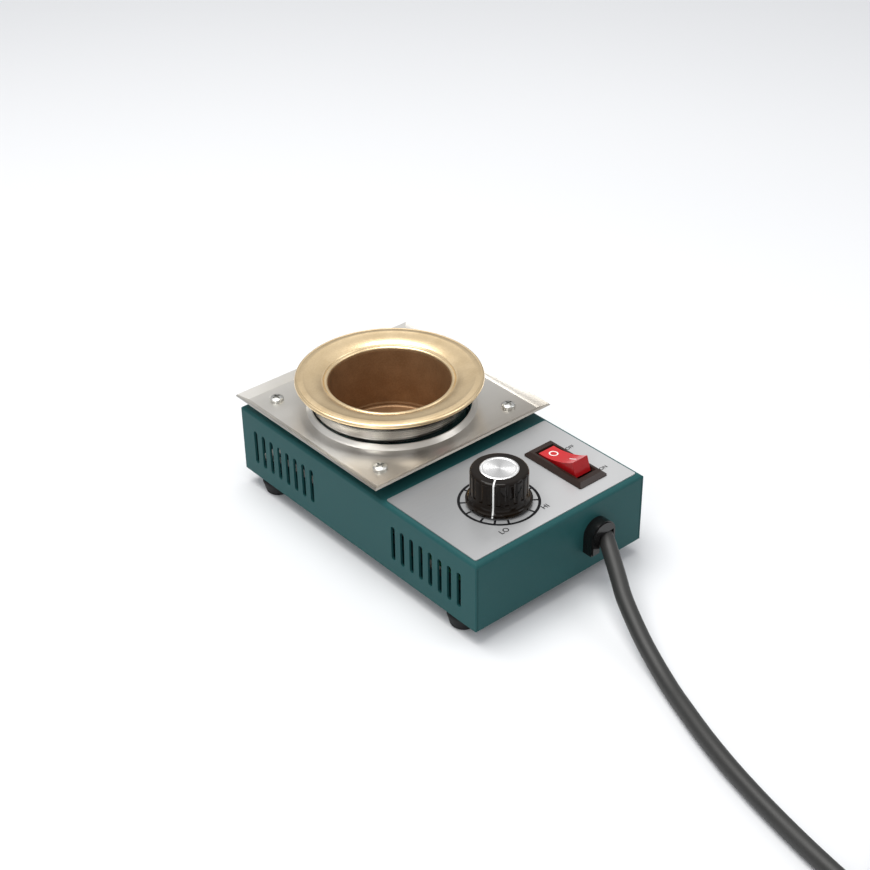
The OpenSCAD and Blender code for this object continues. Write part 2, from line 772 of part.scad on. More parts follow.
// Sleeved heater lead: loops behind the rear vents and runs forward to the board
module heater_lead_left() {
    color("#f1efe6") tube([
        [-27.4, 43.2, lead_z], [-31, 45.3, lead_z], [-35.2, 48.4, 24.2], [-38.4, 52.6, 23],
        [-39.6, 57.4, 20.2], [-39.6, 61.8, 16.4], [-38, 65.4, 12.8], [-34.6, 66.4, 10.4],
        [-31.6, 63, 9.6], [-30.4, 57, 9.6], [-30.4, 48, 9.6], [-30.8, 38, 9.7], [-30.8, 28, 9.7],
        [-30.8, 18, 9.7], [-30.4, 6, 9.6], [-28.6, -6, 9.8], [-26, -15, 11.2],
        [-23.4, -21, 14], [-21.6, -25.4, board_top + lead_r], [-21, -29.4, board_top + lead_r]], lead_r, 8);
}

module heater_lead_right() {
    color("#f1efe6") tube([
        [24.2, 8.4, lead_z], [26.6, 6.5, lead_z], [28.6, 3.6, 23.6], [29.2, 0.2, 21.6],
        [28.6, -2.8, 18.6], [27.2, -5.4, 15.4], [26, -8.2, 12.8],
        [block_x + block_pitch / 2, -11, 12], [block_x + block_pitch / 2, block_y + block_l / 2, 12]],
        lead_r, 8);
}

module at_block_poles() {
    for (s = [-1, 1]) translate([block_x + s * block_pitch / 2, block_y, cover_z]) children();
}

// Two-pole terminal block
module terminal_block() {
    color("#ece7dc") difference() {
        translate([block_x, block_y, cover_z]) union() {
            translate([0, 0, block_h * 0.35]) cube([block_w, block_l, block_h * 0.7], center = true);
            for (s = [-1, 1]) translate([s * block_pitch / 2, 0, 0])
                cylinder(r = block_pitch * 0.42, h = block_h);
        }
        at_block_poles() translate([0, 0, block_h * 0.55]) cylinder(r = screw_r + 0.4, h = block_h);
    }
}

module terminal_screws() {
    color("#c9a94f") at_block_poles() translate([0, 0, block_h * 0.55]) difference() {
        cylinder(r = screw_r + 0.4, h = block_h * 0.3);
        translate([-screw_d, -0.3, block_h * 0.2]) cube([2 * screw_d, 0.6, block_h * 0.2]);
    }
}

// Frame of the switch with bevelled sides
module bezel_solid() {
    intersection() {
        translate([0, bezel_l / 2, 0]) rotate([90, 0, 0]) linear_extrude(bezel_l)
            bezel_section(bezel_w);
        translate([-bezel_w / 2, 0, 0]) rotate([90, 0, 90]) linear_extrude(bezel_w)
            bezel_section(bezel_l);
        linear_extrude(bezel_h) round_rect(bezel_w, bezel_l, 0.8);
    }
}

module bezel_section(w) {
    polygon([[-w / 2, 0], [w / 2, 0], [w / 2, bezel_edge], [w / 2 - bezel_bevel, bezel_h],
        [bezel_bevel - w / 2, bezel_h], [-w / 2, bezel_edge]]);
}

// Sloping mouth of the well, across a width w
module well_section(w) {
    polygon([[-w / 2, eps], [w / 2, eps], [w / 2 - 0.55, -1.2], [w / 2 - 0.55, -well_depth],
        [0.55 - w / 2, -well_depth], [0.55 - w / 2, -1.2]]);
}

module switch_body() {
    color("#231c19") at_switch() difference() {
        union() {
            translate([0, 0, panel_z]) bezel_solid();
            translate([0, 0, panel_z - switch_d / 2])
                cube([switch_w, switch_l, switch_d], center = true);
            for (s = [-1, 1]) translate([0, s * switch_l / 2, ceiling_z]) rotate([90, 0, 90])
                translate([0, 0, -3]) linear_extrude(6)
                    polygon([[0, -eps], [s * 0.9, -eps], [0, -5]]);
        }
        intersection() {
            translate([0, well_l, bezel_z]) rotate([90, 0, 0]) linear_extrude(2 * well_l)
                well_section(well_w);
            translate([-well_w, 0, bezel_z]) rotate([90, 0, 90]) linear_extrude(2 * well_w)
                well_section(well_l);
        }
        translate([0, 0, pivot_z]) rotate([0, 90, 0])
            cylinder(r = pivot_d / 2 + pivot_clear, h = rocker_w + 2 * pin_l + 0.3, center = true);
    }
}

module switch_terminals() {
    color("#d8c27a") at_switch() for (i = [-1 : 1])
        translate([-blade_w / 2, i * blade_pitch - blade_t / 2, panel_z - switch_d - blade_l])
            difference() {
                cube([blade_w, blade_t, blade_l]);
                translate([blade_w / 2, -eps, 2]) rotate([-90, 0, 0])
                    cylinder(r = 0.8, h = blade_t + 2 * eps);
            }
}

module switch_lamp() {
    color("orange") at_switch() translate([0, 4, bezel_z - well_depth + lamp_d / 2])
        rotate([90, 0, 0]) cylinder(d = lamp_d, h = 8);
}

// Rocker with a hollowed top, drawn level about its pivot
module rocker_level() {
    dish_r = (pow(rocker_l / 2, 2) + pow(rocker_dish, 2)) / (2 * rocker_dish);
    half_deg = asin(rocker_l / 2 / dish_r);
    translate([-rocker_w / 2, 0, 0]) rotate([90, 0, 90]) linear_extrude(rocker_w)
        polygon(concat(
            arc(0, rocker_rise - rocker_dish + dish_r, dish_r, -90 + half_deg, -90 - half_deg, 14),
            [[-rocker_end, -0.5], [-rocker_end + 2.4, -2.4]],
            [[-3, -skirt_drop], [3, -skirt_drop]],
            [[rocker_end - 2.4, -2.4], [rocker_end, -0.5]]));
    rotate([0, 90, 0]) cylinder(r = pivot_d / 2, h = rocker_w + 2 * pin_l, center = true);
}

module rocker() {
    color("#c4231f") at_switch() translate([0, 0, pivot_z]) rotate([-rocker_tilt, 0, 0]) rocker_level();
}

// Fluted knob with a flared skirt, hollow underneath
module knob() {
    flare = skirt_d / 2 - knob_d / 2;
    body_r = knob_d / 2;
    color("#2b1c12") at_dial() difference() {
        translate([0, 0, knob_z]) rotate_extrude() polygon(concat(
            [[0, 0], [skirt_d / 2 - 0.3, 0], [skirt_d / 2, 0.3], [skirt_d / 2, skirt_rim_h]],
            [for (i = [1 : 6]) let (t = i / 6)
                [skirt_d / 2 - 0.3 - (flare - 0.3) * sin(90 * t), skirt_rim_h + 3.6 * (1 - cos(90 * t))]],
            arc(body_r - knob_round, knob_h - knob_round, knob_round, 0, 90, 6),
            [[cap_d / 2 + 0.25, knob_h], [cap_d / 2, knob_h - 0.2], [cap_d / 2, knob_h - cap_t / 2],
                [0, knob_h - cap_t / 2]]));
        translate([0, 0, knob_z - eps]) cylinder(r = knob_hollow_r, h = knob_hollow_z - knob_z + eps);
        translate([0, 0, knob_hollow_z - eps]) cylinder(r = insert_r, h = insert_h + eps);
        for (i = [0 : flute_count - 1]) rotate(pointer_deg + (i + 0.5) * 360 / flute_count)
            translate([body_r + flute_r - flute_depth, 0, knob_z + skirt_rim_h + 3.4])
                cylinder(r = flute_r, h = knob_h, $fn = 32);
        rotate(pointer_deg + 180) translate([insert_r - 1, 0, grub_z]) rotate([0, 90, 0])
            cylinder(r = screw_r, h = skirt_d, $fn = 48);
    }
}

module knob_cap() {
    color("#e4e4e4") at_dial() translate([0, 0, knob_top - cap_t / 2]) rotate_extrude()
        polygon([[0, 0], [cap_d / 2, 0], [cap_d / 2, cap_t * 0.7], [cap_d / 2 - 0.4, cap_t],
            [cap_d / 2 - 1, cap_t], [cap_d / 2 - 1.3, cap_t * 0.8], [0, cap_t * 0.8]]);
}

module knob_bush() {
    color("#c9a94f") at_dial() difference() {
        translate([0, 0, knob_hollow_z]) ring(insert_r, shaft_d / 2, insert_h);
        rotate(pointer_deg + 180) translate([0, 0, grub_z]) rotate([0, 90, 0])
            cylinder(r = screw_r, h = skirt_d, $fn = 48);
    }
}

module knob_grub_screw() {
    color("dimgray") at_dial() rotate(pointer_deg + 180) translate([shaft_d / 2 - 0.1, 0, grub_z])
        rotate([0, 90, 0]) difference() {
            cylinder(r = screw_r, h = 5.5, $fn = 48);
            translate([0, 0, 4.5]) cylinder(r = 0.9, h = 2, $fn = 6);
        }
}

// Shaft with a flat for the grub screw
module dial_shaft() {
    r = shaft_d / 2;
    low = ceiling_z - control_h + 1.5;
    color("silver") at_dial() difference() {
        translate([0, 0, low]) cylinder(r = r, h = shaft_top - low);
        rotate(pointer_deg + 180) translate([r - 0.1, -r, grub_z - screw_r - 1])
            cube([1, shaft_d, shaft_top]);
    }
}

// Rotary control: case, threaded bush and the bore its shaft turns in
module dial_control() {
    bore_r = shaft_d / 2 + shaft_clear;
    color("#8f9496") at_dial() difference() {
        union() {
            translate([0, 0, ceiling_z - control_h]) cylinder(r = control_d / 2, h = control_h);
            translate([0, 0, ceiling_z - eps]) cylinder(r = bush_d / 2, h = bush_l + cover_sheet + eps);
            rotate(-90) translate([control_d / 2 - 2, -6, ceiling_z - control_h]) cube([5, 12, 2.4]);
        }
        translate([0, 0, ceiling_z - control_h + 1.2])
            cylinder(r = bore_r, h = control_h + bush_l + cover_sheet);
    }
}

module dial_washer() {
    color("silver") at_dial() translate([0, 0, panel_z])
        ring(dial_nut_af / 2 + 0.6, bush_d / 2 + screw_clear, washer_t);
}

module dial_nut() {
    color("gainsboro") at_dial() translate([0, 0, panel_z + washer_t])
        hex_nut(dial_nut_af, dial_nut_h, bush_d / 2);
}

module dial_pins() {
    color("#c9a94f") at_dial() for (i = [-1 : 1])
        translate([i * 4, -control_d / 2 - 1.4, board_top])
            cylinder(r = 0.5, h = ceiling_z - control_h - board_top, $fn = 24);
}

module control_board() {
    color("#2f6b3a") difference() {
        translate([board_x, board_y, board_z]) linear_extrude(board_t) round_rect(board_w, board_l, 1);
        at_posts() translate([0, 0, board_z - eps]) cylinder(r = hole_r, h = board_t + 2 * eps);
    }
}

module board_posts() {
    color("ivory") at_posts() translate([0, 0, cover_z]) ring(3, screw_r, post_h);
}

module board_screws() {
    color("silver") at_posts() {
        translate([0, 0, board_top]) pan_screw(board_t + post_h / 2 - 0.5);
        translate([0, 0, base_z]) mirror([0, 0, 1]) pan_screw(base_sheet + post_h / 2 - 0.5);
    }
}

// Finned heat sink for the triac
module heat_sink() {
    fin = 1;
    color("#a9adb0") translate([sink_x - sink_w / 2, sink_y - 2.5, board_top]) {
        cube([sink_w, 2, sink_h]);
        for (i = [0 : 5]) translate([i * (sink_w - fin) / 5, 1.9, 0]) cube([fin, 5, sink_h]);
    }
}

module triac() {
    color("#1d1d1f") translate([sink_x, triac_y, board_top + 3]) {
        translate([-5, -0.8, 0]) cube([10, 3.2, 9]);
        for (i = [-1 : 1]) translate([i * 2.5 - 0.4, 0, -3]) cube([0.8, 0.8, 3.1]);
    }
}

module film_capacitor() {
    color("#d9b23a") translate([board_x + board_w / 2 - 10, board_y - board_l / 2 + 15, board_top])
        linear_extrude(9) round_rect(8, 14, 0.8);
}

module resistors() {
    color("#b98a5a") for (i = [0 : 2])
        translate([board_x - board_w / 2 + 8, board_y - board_l / 2 + 8 + i * 5, board_top + 1.3])
            rotate([0, 90, 0]) {
                cylinder(r = 1.3, h = 7, $fn = 32);
                translate([0, 0, -1.5]) cylinder(r = 0.35, h = 10, $fn = 24);
                for (z = [-1.2, 8.2]) translate([0, 0, z]) rotate([0, 90, 0])
                    cylinder(r = 0.35, h = 1.3, $fn = 24);
            }
}

module earth_screw() {
    color("silver") translate([earth_x, earth_y, cover_z + 0.8]) pan_screw(base_sheet + 1.6);
}

module earth_tag() {
    color("#d8c27a") translate([earth_x, earth_y, cover_z]) difference() {
        union() {
            cylinder(r = 3.6, h = 0.8);
            translate([-1.6, -9, 0]) cube([3.2, 9, 0.8]);
        }
        translate([0, 0, -eps]) cylinder(r = hole_r, h = 1);
    }
}

module wire_live() {
    color("#6b3f22") tube([
        [15, gland_end_y, 22.4], [15, -65.2, 22.4], [15.2, -64, 21.8], [16.2, -62.8, 20.2],
        [17.8, -61.8, 18.6], [19.8, -60.6, 17.2], [21.8, -59, 16.4], [23.4, -57.3, blade_foot_z],
        [23.4, switch_y - blade_pitch - blade_t / 2, blade_foot_z]], wire_r, 8, [1, 0.2, 0.4]);
}

module wire_neutral() {
    color("#3b6ea8") tube([
        [18.4, gland_end_y, 20.6], [18.4, -65.4, 20.6], [18.3, -64.6, 19.4], [18, -64.3, 17],
        [17.6, -63.8, 14.2], [17.1, -62, 11.4], [16.8, -58.8, 9.5], [16.6, -53.6, 8.7],
        [16.6, -46, 8.6], [17.2, -38, 8.6], [19.6, -32.4, 9.2], [23.4, -29.4, 10.6],
        [block_x + block_pitch / 2, -27.6, 11], [block_x + block_pitch / 2, block_y - block_l / 2, 11]],
        wire_r, 8, [1, 0.2, 0.4]);
}

module wire_earth() {
    tag_z = cover_z + 0.8 + wire_r;
    color("#7fa04a") tube([
        [16.2, gland_end_y, 26], [16.2, -65.2, 26], [15.7, -64, 25.2], [14.9, -62.6, 23],
        [14.2, -61.4, 19.6], [13.7, -60.2, 15.6], [13.3, -58.2, 12.2], [13.1, -55, 9.6],
        [13, -50.6, 8.6], [13, -44, 8.4], [13, -37, 8.4], [12.8, -31.4, 8.4], [12, -28.8, 8.4],
        [10.2, -26.8, 8.5], [7.8, -25.6, tag_z], [earth_x, -24.8, tag_z]],
        wire_r, 8, [1, 0.2, 0.4]);
}

module wire_link() {
    color("#b33a2e") tube([
        [25, switch_y + blade_t / 2, blade_foot_z], [25, -46.4, blade_foot_z], [23.9, -45, 16.2],
        [21.6, -44.2, 16], [18.4, -44, 15.8], [15, -44.4, 15.7], [12.4, -45, board_top + wire_r],
        [board_x + board_w / 2 - 3, -45.4, board_top + wire_r]], wire_r, 8);
}

// Outline of the strain relief's head: an arch on straight sides
module gland_outline(grow = 0) {
    circle(gland_r + grow);
    translate([-gland_r - grow, -gland_drop - grow]) square([gland_w + 2 * grow, gland_drop + grow]);
}

// Strain relief: arched head with a mouth for the lead, neck and latch inside the wall
module strain_relief() {
    step = 0.5;
    color("#141414") translate([gland_x, front_y, gland_cz]) rotate([90, 0, 0]) difference() {
        union() {
            linear_extrude(gland_out - step) gland_outline();
            linear_extrude(gland_out) gland_outline(-step);
            translate([0, 0, -cover_sheet - eps]) cylinder(r = gland_neck_r, h = cover_sheet + 2 * eps);
            translate([0, 0, -cover_sheet - gland_in])
                cylinder(r1 = gland_neck_r - 0.6, r2 = gland_neck_r + 0.5, h = gland_in);
        }
        translate([mouth_off_x - mouth_w / 2, -gland_drop - eps, gland_out - mouth_deep])
            cube([mouth_w, gland_drop + mouth_top, mouth_deep + 1]);
    }
}

module mains_cord() {
    color("#2a2a28") tube(cord_route, cord_d / 2, 10);
}

module cord_tail() {
    color("#2a2a28") tube(tail_route, cord_d / 2, 10);
}

// Outer shape of the coiled lead
module cord_coil() {
    w = coil_wide * cord_d;
    h = coil_high * cord_d;
    color("#30302e") translate([coil_x, coil_y, 0]) rotate_extrude()
        translate([coil_mid_r, h / 2]) round_rect(w, h, cord_d / 2 - eps);
}

// Moulded three-pin plug with a ribbed boot, lying flat
module plug() {
    color("#262624") translate(plug_at) {
        hull() {
            translate([boot_l + plug_l - 6, 0, 0]) plug_slab(plug_w, plug_t, 6);
            translate([boot_l + plug_l * 0.45, 0, 0]) plug_slab(plug_w - 1.5, plug_t - 0.6, 1);
            translate([boot_l, 0, 0]) plug_slab(14, 11, 1);
        }
        rotate([0, 90, 0]) cylinder(r1 = cord_d / 2 + 0.7, r2 = 5, h = boot_l + 1);
        for (i = [0 : 3]) translate([2 + i * 4.2, 0, 0]) rotate([0, 90, 0])
            cylinder(r = cord_d / 2 + 1.2 + i * 0.45, h = 2);
    }
}

module plug_slab(w, t, l) {
    rotate([90, 0, 90]) linear_extrude(l) round_rect(w, t, 4, $fn = 32);
}

module plug_pins() {
    face = boot_l + plug_l;
    color("#cfc9b8") translate(plug_at) {
        for (s = [-1, 1]) translate([face + 8.5, s * 6.35, 2.4]) cube([17, 1.5, 6.3], center = true);
        translate([face, 0, -4]) rotate([0, 90, 0]) cylinder(r = 2.4, h = 19);
        translate([face + 19, 0, -4]) rotate([0, 90, 0]) cylinder(r1 = 2.4, r2 = 1, h = 2);
    }
}

cover();
base_plate();
foot_front_left();
foot_front_right();
foot_rear_left();
foot_rear_right();
foot_screws();
control_panel();
drip_tray();
tray_screws();
tray_spacers();
tray_nuts();
crucible();
pot_shell();
heater_band();
heat_wrap();
pot_insulator();
pot_bracket();
pot_bolt();
pot_washer();
bracket_screws();
bracket_nuts();
heater_lead_left();
heater_lead_right();
terminal_block();
terminal_screws();
switch_body();
switch_terminals();
switch_lamp();
rocker();
knob();
knob_cap();
knob_bush();
knob_grub_screw();
dial_shaft();
dial_control();
dial_nut();
dial_washer();
dial_pins();
control_board();
board_posts();
board_screws();
triac();
heat_sink();
film_capacitor();
resistors();
earth_screw();
earth_tag();
wire_live();
wire_neutral();
wire_earth();
wire_link();
strain_relief();
mains_cord();
cord_coil();
cord_tail();
plug();
plug_pins();
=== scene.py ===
"""Bench solder pot: camera, studio, mains lead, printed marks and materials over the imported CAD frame.

Everything is in metres in the frame's axes: +Z up, the lead leaves towards -Y, origin on the bench.
"""

import logging
import math
from collections.abc import Callable, Sequence
from dataclasses import dataclass
from enum import Enum

import bpy
import numpy as np
from mathutils import Matrix, Vector


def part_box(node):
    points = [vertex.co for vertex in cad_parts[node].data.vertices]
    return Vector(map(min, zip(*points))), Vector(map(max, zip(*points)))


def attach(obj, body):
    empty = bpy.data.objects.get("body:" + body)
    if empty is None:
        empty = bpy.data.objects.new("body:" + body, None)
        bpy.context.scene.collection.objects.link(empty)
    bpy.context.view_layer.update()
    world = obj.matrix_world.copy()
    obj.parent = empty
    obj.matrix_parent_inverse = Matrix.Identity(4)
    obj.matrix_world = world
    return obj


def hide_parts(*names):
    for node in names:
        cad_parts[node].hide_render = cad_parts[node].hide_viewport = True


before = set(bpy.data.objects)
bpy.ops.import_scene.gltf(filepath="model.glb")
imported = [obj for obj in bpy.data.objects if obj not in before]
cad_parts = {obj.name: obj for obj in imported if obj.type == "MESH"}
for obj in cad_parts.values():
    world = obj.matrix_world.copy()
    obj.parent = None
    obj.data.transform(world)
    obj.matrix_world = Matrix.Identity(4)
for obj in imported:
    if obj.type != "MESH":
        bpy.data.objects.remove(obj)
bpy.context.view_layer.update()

log = logging.getLogger("solder_pot")
MM = 0.001
PRINT_LIFT = 0.03 * MM
ROCKER_PIVOT = (25 * MM, -48.1 * MM, 36.6 * MM)
MOUTH_RADIUS = 25 * MM
MOUTH_HEIGHT = 53.3 * MM
Socket = bpy.types.NodeSocket
Point = tuple[float, float, float]


# --------------------------------------------------------------------------------------
# Camera and studio
# --------------------------------------------------------------------------------------


@dataclass(frozen=True)
class Viewpoint:
    """Where the camera stands and how it is held."""

    azimuth_deg: float = -40.285
    elevation_deg: float = 33.234
    roll_deg: float = -0.882
    target: Point = (0.015959, 0.019073, 0.023)
    distance: float = 0.696536
    lens_mm: float = 69.343
    sensor_mm: float = 36.0

    def matrix(self) -> Matrix:
        """Returns the camera's world matrix."""
        az, el, roll = (math.radians(a) for a in (self.azimuth_deg, self.elevation_deg, self.roll_deg))
        back = Vector((math.sin(az) * math.cos(el), -math.cos(az) * math.cos(el), math.sin(el)))
        right = Vector((math.cos(az), math.sin(az), 0.0))
        up = back.cross(right)
        across = right * math.cos(roll) + up * math.sin(roll)
        above = up * math.cos(roll) - right * math.sin(roll)
        turned = Matrix((across, above, back)).transposed().to_4x4()
        return Matrix.Translation(Vector(self.target) + back * self.distance) @ turned


def make_camera(view: Viewpoint) -> bpy.types.Object:
    """Creates the scene's camera.

    Args:
        view: Where it stands.

    Returns:
        The camera object.
    """
    data = bpy.data.cameras.new("camera")
    data.lens = view.lens_mm
    data.sensor_width = view.sensor_mm
    data.clip_start, data.clip_end = 0.01, 50.0
    camera = bpy.data.objects.new("camera", data)
    bpy.context.scene.collection.objects.link(camera)
    camera.matrix_world = view.matrix()
    bpy.context.scene.camera = camera
    return camera


@dataclass(frozen=True)
class SoftBox:
    """A rectangular area light that faces the object."""

    name: str
    place: Point
    size: tuple[float, float]
    watts: float
    colour: tuple[float, float, float] = (1.0, 1.0, 1.0)
    aim: Point = (0.0, 0.0, 0.03)

    def make(self) -> bpy.types.Object:
        """Creates the light and returns its object."""
        data = bpy.data.lights.new(self.name, "AREA")
        data.shape = "RECTANGLE"
        data.size, data.size_y = self.size
        data.energy = self.watts
        data.color = self.colour
        lamp = bpy.data.objects.new(self.name, data)
        lamp.location = self.place
        towards = Vector(self.aim) - Vector(self.place)
        lamp.rotation_euler = towards.to_track_quat("-Z", "Y").to_euler()
        bpy.context.scene.collection.objects.link(lamp)
        return lamp


LIGHTS = (
    SoftBox("key", (-0.15, 0.12, 1.0), (0.75, 0.75), 9.6, (1.0, 0.99, 0.97)),
    SoftBox("fill", (0.75, -0.75, 0.8), (0.6, 0.5), 1.8, (0.95, 0.97, 1.0)),
    SoftBox("strip", (-0.9, -0.5, 0.6), (0.22, 0.7), 2.2),
)


# --------------------------------------------------------------------------------------
# Shader graph helpers
# --------------------------------------------------------------------------------------


class Graph:
    """Adds nodes to one shader tree and links them."""

    def __init__(self, tree: bpy.types.NodeTree) -> None:
        self.tree = tree
        self.column = 0

    def add(self, kind: str, inputs: dict | None = None, **settings: object) -> bpy.types.Node:
        """Adds a node.

        Args:
            kind: The node's type name.
            inputs: Constants or sockets by input name or index.
            settings: Properties of the node.

        Returns:
            The new node.
        """
        node = self.tree.nodes.new(kind)
        node.location = (self.column * 180, 0)
        self.column += 1
        for name, value in settings.items():
            setattr(node, name, value)
        for key, value in (inputs or {}).items():
            self.feed(node.inputs[key], value)
        return node

    def feed(self, socket: Socket, value: object) -> None:
        """Links a socket, or sets its constant."""
        if isinstance(value, bpy.types.NodeSocket):
            self.tree.links.new(value, socket)
        elif isinstance(value, (tuple, list)) and len(value) == 3 and socket.type == "RGBA":
            socket.default_value = (*value, 1.0)
        else:
            socket.default_value = value

    def math(self, operation: str, a: object, b: object = 0.0) -> Socket:
        """Returns the result of a math node."""
        return self.add("ShaderNodeMath", {0: a, 1: b}, operation=operation).outputs[0]

    def mix(self, factor: object, a: object, b: object, blend: str = "MIX") -> Socket:
        """Returns two colours mixed."""
        node = self.add("ShaderNodeMix", data_type="RGBA", blend_type=blend)
        self.feed(node.inputs[0], factor)
        self.feed(node.inputs[6], a)
        self.feed(node.inputs[7], b)
        return node.outputs[2]

    def blend(self, factor: object, a: object, b: object) -> Socket:
        """Returns two values mixed."""
        node = self.add("ShaderNodeMix", {0: factor, 2: a, 3: b}, data_type="FLOAT")
        return node.outputs[0]

    def span(self, value: object, low: float, high: float, out_low: float = 0.0,
             out_high: float = 1.0) -> Socket:
        """Returns value mapped smoothly from low..high to out_low..out_high."""
        node = self.add(
            "ShaderNodeMapRange", {0: value, 1: low, 2: high, 3: out_low, 4: out_high},
            interpolation_type="SMOOTHSTEP",
        )
        return node.outputs[0]

    def place(self) -> Socket:
        """Returns the point's own coordinates, in metres."""
        return self.add("ShaderNodeTexCoord").outputs["Object"]

    def scaled(self, vector: Socket, x: float, y: float, z: float) -> Socket:
        """Returns vector with each part multiplied."""
        node = self.add("ShaderNodeVectorMath", {0: vector, 1: (x, y, z)}, operation="MULTIPLY")
        return node.outputs[0]

    def noise(self, vector: Socket, scale: float, detail: float) -> Socket:
        """Returns a noise value from 0 to 1."""
        node = self.add("ShaderNodeTexNoise", {"Vector": vector, "Scale": scale, "Detail": detail})
        return node.outputs["Fac"]

    def parts(self, vector: Socket) -> tuple[Socket, Socket, Socket]:
        """Returns a vector's three parts."""
        node = self.add("ShaderNodeSeparateXYZ", {0: vector})
        return node.outputs[0], node.outputs[1], node.outputs[2]

    def joined(self, x: object, y: object, z: object) -> Socket:
        """Returns a vector made of three values."""
        return self.add("ShaderNodeCombineXYZ", {0: x, 1: y, 2: z}).outputs[0]

    def bump(self, height: Socket, depth: float) -> Socket:
        """Returns a normal bent by height times depth, in metres."""
        node = self.add("ShaderNodeBump", {"Height": height, "Strength": 1.0, "Distance": depth})
        return node.outputs["Normal"]

    def group(self, tree: bpy.types.NodeTree, **inputs: object) -> bpy.types.Node:
        """Adds a shared group with its inputs set by name."""
        node = self.add("ShaderNodeGroup", node_tree=tree)
        for name, value in inputs.items():
            self.feed(node.inputs[name], value)
        return node


def new_group(name: str, inputs: dict[str, float], outputs: Sequence[str]) -> tuple[Graph, dict, Graph]:
    """Starts a shared node group whose inputs and outputs are plain values.

    Args:
        name: The group's name.
        inputs: Default value by input name.
        outputs: The outputs' names.

    Returns:
        The graph, the input sockets by name, and the group's output node.
    """
    tree = bpy.data.node_groups.new(name, "ShaderNodeTree")
    for key, value in inputs.items():
        socket = tree.interface.new_socket(key, in_out="INPUT", socket_type="NodeSocketFloat")
        socket.default_value = value
    for key in outputs:
        tree.interface.new_socket(key, in_out="OUTPUT", socket_type="NodeSocketFloat")
    graph = Graph(tree)
    source = graph.add("NodeGroupInput")
    sink = graph.add("NodeGroupOutput")
    return graph, {key: source.outputs[key] for key in inputs}, sink


class Shared:
    """Node groups that several materials use."""

    def __init__(self) -> None:
        self.mottle = self._mottle()
        self.brushed = self._brushed()
        self.spun = self._spun()

    @staticmethod
    def _mottle() -> bpy.types.NodeTree:
        """Soft patches with fine grain over them, from 0 to 1."""
        g, inputs, sink = new_group("mottle", {"Scale": 60.0, "Grain": 900.0, "Share": 0.35}, ["Value"])
        place = g.place()
        patches = g.add("ShaderNodeTexNoise", {"Vector": place, "Scale": inputs["Scale"], "Detail": 4.0})
        grain = g.add("ShaderNodeTexNoise", {"Vector": place, "Scale": inputs["Grain"], "Detail": 2.0})
        both = g.blend(inputs["Share"], patches.outputs["Fac"], grain.outputs["Fac"])
        g.feed(sink.inputs["Value"], both)
        return g.tree

    @staticmethod
    def _brushed() -> bpy.types.NodeTree:
        """Fine straight lines along X, from 0 to 1, with slow drifts."""
        g, inputs, sink = new_group("brushed", {"Fine": 5200.0, "Drift": 90.0}, ["Lines", "Cloud"])
        place = g.place()
        stretched = g.scaled(place, 0.02, 1.0, 1.0)
        fine = g.add("ShaderNodeTexNoise", {"Vector": stretched, "Scale": inputs["Fine"], "Detail": 3.0})
        drift = g.add("ShaderNodeTexNoise", {"Vector": g.scaled(place, 0.25, 1.0, 1.0),
                                             "Scale": inputs["Drift"], "Detail": 3.0})
        g.feed(sink.inputs["Lines"], fine.outputs["Fac"])
        g.feed(sink.inputs["Cloud"], drift.outputs["Fac"])
        return g.tree

    @staticmethod
    def _spun() -> bpy.types.NodeTree:
        """Turning lines round a vertical axis at (X, Y), from 0 to 1."""
        values = {"X": 0.0, "Y": 0.0, "Fine": 4200.0}
        g, inputs, sink = new_group("spun", values, ["Lines", "Radius", "Angle"])
        x, y, z = g.parts(g.place())
        dx = g.math("SUBTRACT", x, inputs["X"])
        dy = g.math("SUBTRACT", y, inputs["Y"])
        radius = g.math("SQRT", g.math("ADD", g.math("MULTIPLY", dx, dx), g.math("MULTIPLY", dy, dy)))
        angle = g.math("ARCTAN2", dy, dx)
        sweep = g.math("MULTIPLY", angle, 0.0006)
        lines = g.add("ShaderNodeTexNoise", {"Vector": g.joined(radius, z, sweep),
                                             "Scale": inputs["Fine"], "Detail": 2.0})
        g.feed(sink.inputs["Lines"], lines.outputs["Fac"])
        g.feed(sink.inputs["Radius"], radius)
        g.feed(sink.inputs["Angle"], angle)
        return g.tree


def new_material(name: str) -> tuple[bpy.types.Material, Graph, bpy.types.Node]:
    """Starts a node material and returns it with its graph and its main shader."""
    material = bpy.data.materials.new(name)
    material.use_nodes = True
    graph = Graph(material.node_tree)
    shader = material.node_tree.nodes["Principled BSDF"]
    return material, graph, shader


# --------------------------------------------------------------------------------------
# Finishes
# --------------------------------------------------------------------------------------


